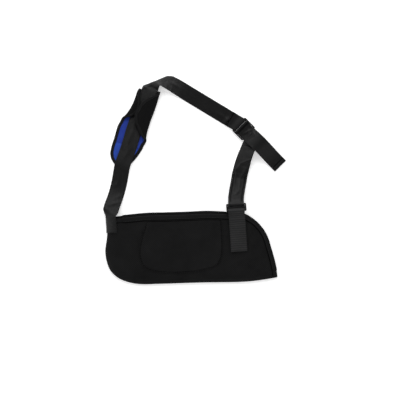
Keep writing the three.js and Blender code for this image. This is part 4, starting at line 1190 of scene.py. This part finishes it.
def makePad():
    grid, cloth = padGrid(pad["hem"] * pad["shellIn"])
    swell = np.array([[0.28 * bump(x, y, 15, 4) for x, y, _ in row] for row in grid])
    outside = offsetGrid(grid, -padOutside + swell * 0.6)
    inside = offsetGrid(grid, np.full(grid.shape[:2], -pad["layerGap"] / 2))
    shell = sheetPiece("pad_outer", outside, inside, cloth, finish["padCloth"], ["pad_shell"])

    grid, cloth = padGrid(pad["hem"] * pad["liningIn"])
    seam = np.exp(-((cloth[..., 1] - quiltSeam - 0.04 * (cloth[..., 0] - pad["clothMiddle"])) / 1.5) ** 2)
    swell = np.array([[0.35 * bump(x, y, 9, 5) for x, y, _ in row] for row in grid])
    top = padInside + 0.15 - 1.1 * seam + swell * 0.5
    lining = sheetPiece("pad_mesh", offsetGrid(grid, np.full(grid.shape[:2], pad["layerGap"] / 2)),
                        offsetGrid(grid, top), cloth, finish["blueMesh"], ["pad_lining"])

    hem = pad["hem"]
    profile = [
        (hem, -padOutside + 0.3), (hem - 0.4, -padOutside - 0.45), (0.55 * hem, -padOutside - 0.55),
        (0.2 * hem, -padOutside - 0.4), (0.02 * hem, -padOutside + 0.5), (0.0, 0.0),
        (0.02 * hem, padInside - 0.4), (0.2 * hem, padInside + 0.5), (0.55 * hem, padInside + 0.65),
        (hem - 0.4, padInside + 0.55), (hem, padInside - 0.3),
    ]
    profile.append(profile[0])
    rings = []
    for margin, away in profile:
        points, _ = padGrid(margin)
        rings.append(borderOf(offsetGrid(points, np.full(points.shape[:2], away))))
    rings = np.array(rings)
    rings[..., 2] = np.maximum(rings[..., 2], 0)       # the tape lies flat on the floor
    length = runLengths(rings[5])
    wide = np.linspace(0, tape["foldedOut"], len(profile))
    cloth = np.stack(np.broadcast_arrays(wide[:, None], length[None]), -1)
    shellOfTape = Shell()
    shellOfTape.grid(rings, True, cloth)
    shellOfTape.make("pad_edge_tape", finish["bindingTape"])


makePad()
print("shoulder pad is folded")

# moulded fittings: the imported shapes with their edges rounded

# in metres and degrees
moulding = {"edgeRound": 0.0004, "segments": 3, "weld": 1e-5, "flat": 1, "corner": 20, "smooth": 35}


def makeFitting(node):
    fitting = bpy.data.objects.new(node + "_moulding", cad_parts[node].data.copy())
    bpy.context.scene.collection.objects.link(fitting)
    bpy.ops.object.select_all(action="DESELECT")
    fitting.select_set(True)
    bpy.context.view_layer.objects.active = fitting
    bpy.ops.object.mode_set(mode="EDIT")
    bpy.ops.mesh.select_all(action="SELECT")
    bpy.ops.mesh.remove_doubles(threshold=moulding["weld"])
    bpy.ops.mesh.dissolve_limited(angle_limit=math.radians(moulding["flat"]))
    bpy.ops.object.mode_set(mode="OBJECT")
    rounding = fitting.modifiers.new("rounding", "BEVEL")
    rounding.width = moulding["edgeRound"]
    rounding.segments = moulding["segments"]
    rounding.limit_method = "ANGLE"
    rounding.angle_limit = math.radians(moulding["corner"])
    bpy.ops.object.modifier_apply(modifier="rounding")
    bpy.ops.object.shade_smooth_by_angle(angle=math.radians(moulding["smooth"]))
    fitting.data.materials.clear()
    fitting.data.materials.append(finish["mouldedPlastic"])
    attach(fitting, "root")
    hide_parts(node)


for node in ("slider", "buckle"):
    makeFitting(node)
print("fittings are moulded")

# stitching: one stitch is modelled, and every seam is a run of copies

stitch = {"length": 2.6, "gap": 1.1, "radius": 0.34, "segments": 6, "rings": 4}


def stitchShape():
    bpy.ops.mesh.primitive_uv_sphere_add(segments=stitch["segments"], ring_count=stitch["rings"], radius=1)
    ball = bpy.context.object
    points = np.array([v.co[:] for v in ball.data.vertices])
    faces = [tuple(face.vertices) for face in ball.data.polygons]
    bpy.data.objects.remove(ball)
    return points[:, [2, 0, 1]], faces


stitchPoints, stitchFaces = stitchShape()


def readAt(place, places, rows):
    # a row of three values between the two rows next to a place
    return np.array([np.interp(place, places, rows[:, c]) for c in range(3)])


def stitchRun(name, paths):
    # paths: lists of (points, normals) that the seams follow
    points, faces = [], []
    size = np.array([stitch["length"] / 2, stitch["radius"], stitch["radius"] * 0.75])
    for line, normals in paths:
        line = np.asarray(line, float)
        lengths = runLengths(line)
        pitch = stitch["length"] + stitch["gap"]
        for k in range(int(lengths[-1] / pitch)):
            middle = (k + 0.5) * pitch
            before, spot, after = [readAt(middle + d, lengths, line) for d in (-0.8, 0, 0.8)]
            above = unit(readAt(middle, lengths, np.asarray(normals)))
            ahead = unit(after - before)
            side = unit(np.cross(above, ahead))
            placed = (stitchPoints * size) @ np.array([ahead, side, np.cross(ahead, side)]) + spot
            base = len(points) * len(stitchPoints)
            points.append(placed)
            faces += [tuple(base + v for v in face) for face in stitchFaces]
    makePiece(name, np.vstack(points), faces, finish["thread"], smoothAngle=80)


def onFront(places, away):
    places = np.asarray(places, float)
    line = np.stack([places[:, 0], places[:, 1], frontHeight(places) + away], 1)
    return line, np.tile([0, 0, 1.0], (len(line), 1))


def mouthSeam(inward, away, start, end):
    line = []
    for share in np.linspace(start, end, 260):
        _, inwardWay, front = mouthPlace(share)
        line.append(front + inwardWay * inward)
    return onFront(line, away)


tapeTop = clearance + tape["thickness"]
tapeStart = (webbing["width"] + 3) / mouthEdge.length
tapeEnd = 1 - (tape["tipGap"] + 1) / mouthEdge.length
stitchRun("mouth_stitches", [mouthSeam(tape["width"] - 1.6, tapeTop + 0.05, tapeStart, tapeEnd)])


def pocketSeam():
    edge = [pocketPoint(down, 0) for down in np.linspace(0.01, 1, 90)]
    edge += [pocketPoint(1, across) for across in np.linspace(0, 1, 20)[1:-1]]
    edge += [pocketPoint(down, 1) for down in np.linspace(1, 0.01, 90)]
    edge = np.array(edge)
    ahead = unit(np.gradient(edge, axis=0))
    inset = edge + pocketInset * np.stack([-ahead[:, 1], ahead[:, 0]], 1)
    return onFront(inset, 1.5 * clearance + 0.62 * pocket["thickness"])


stitchRun("pocket_stitches", [pocketSeam()])


def clothSeam(top, cloth, route):
    # a seam on a strap, given as (along, across) corners in its own cloth
    normals = gridNormals(top)
    corners = np.array(route, float)
    line, ups = [], []
    for (v0, u0), (v1, u1) in zip(corners[:-1], corners[1:]):
        count = max(2, int(math.hypot(v1 - v0, u1 - u0) / 1.5))
        for share in np.linspace(0, 1, count):
            v, u = mix(v0, v1, share), mix(u0, u1, share)
            i = min(int(np.searchsorted(cloth[:, 0, 1], v)), len(cloth) - 1)
            i = max(i, 1)
            w = (v - cloth[i - 1, 0, 1]) / max(cloth[i, 0, 1] - cloth[i - 1, 0, 1], 1e-6)
            row = mix(top[i - 1], top[i], w)
            up = mix(normals[i - 1], normals[i], w)
            order = np.argsort(cloth[i, :, 0])
            us = cloth[i, order, 0]
            line.append(readAt(u, us, row[order]))
            ups.append(readAt(u, us, up[order]))
    return np.array(line), np.array(ups)


def boxSeam(start, end, width, inset=3.2):
    low, high = inset, width - inset
    outline = [(start, low), (end, low), (end, high), (start, high), (start, low), (end, high)]
    return outline, [(start, high), (end, low)]


def crossSeam(top, cloth, along, inset=2.5):
    # a straight seam across a strap
    return clothSeam(top, cloth, [(along, inset), (along, webbing["width"] - inset)])


# how far the seams lie from the ends of the straps and of the tab
seamPlaces = {
    "elbowCross": (3, 6.2), "elbowBox": (12, 33), "sewnBack": (2.6, 6.2), "tailHem": (6.8, 2.5),
    "tabStart": 40, "tabFoot": 3, "tabInset": 2.6,
}

strapEnd = shoulderCloth[-1, 0, 1]
lowerTail = adjustingCloth[-1, 0, 1]
seams = [crossSeam(shoulderTop, shoulderCloth, along) for along in seamPlaces["elbowCross"]]
boxRoutes = boxSeam(*seamPlaces["elbowBox"], webbing["width"])
seams += [clothSeam(shoulderTop, shoulderCloth, route) for route in boxRoutes]
for along in seamPlaces["sewnBack"]:
    seams.append(crossSeam(shoulderTop, shoulderCloth, strapEnd - along))
    seams.append(crossSeam(adjustingTop, adjustingCloth, along))
# the tail lies turned over, so its hem is on the strap's underside
for along in seamPlaces["tailHem"]:
    seams.append(crossSeam(adjustingUnder, adjustingCloth, lowerTail - along, 2))
stitchRun("strap_stitches", seams)

tabEnd = tabCloth[-1, 0, 1]
near, far = seamPlaces["tabInset"], tab["width"] - seamPlaces["tabInset"]
start, foot = tabEnd - seamPlaces["tabStart"], tabEnd - seamPlaces["tabFoot"]
tabRoute = [(start, near), (foot, near), (foot, far), (start, far)]
stitchRun("tab_stitches", [clothSeam(tabTop, tabCloth, tabRoute)])


def hemSeams():
    # the thread that holds the pad's edge tape, wherever it can be seen from above
    points, _ = padGrid(pad["hem"] * pad["threadIn"])
    runs = []
    for away, side in ((-padOutside - 0.5, -1), (padInside + 0.6, 1)):
        line = borderOf(offsetGrid(points, np.full(points.shape[:2], away)))
        normals = borderOf(gridNormals(points)) * side
        inView = normals[:, 2] > 0.25
        breaks = np.flatnonzero(np.diff(inView.astype(int))) + 1
        runs += [(line[part], normals[part]) for part in np.split(np.arange(len(line)), breaks)
                 if inView[part[0]] and len(part) > 4]
    return runs


stitchRun("hem_stitches", hemSeams())
print("seams are stitched")
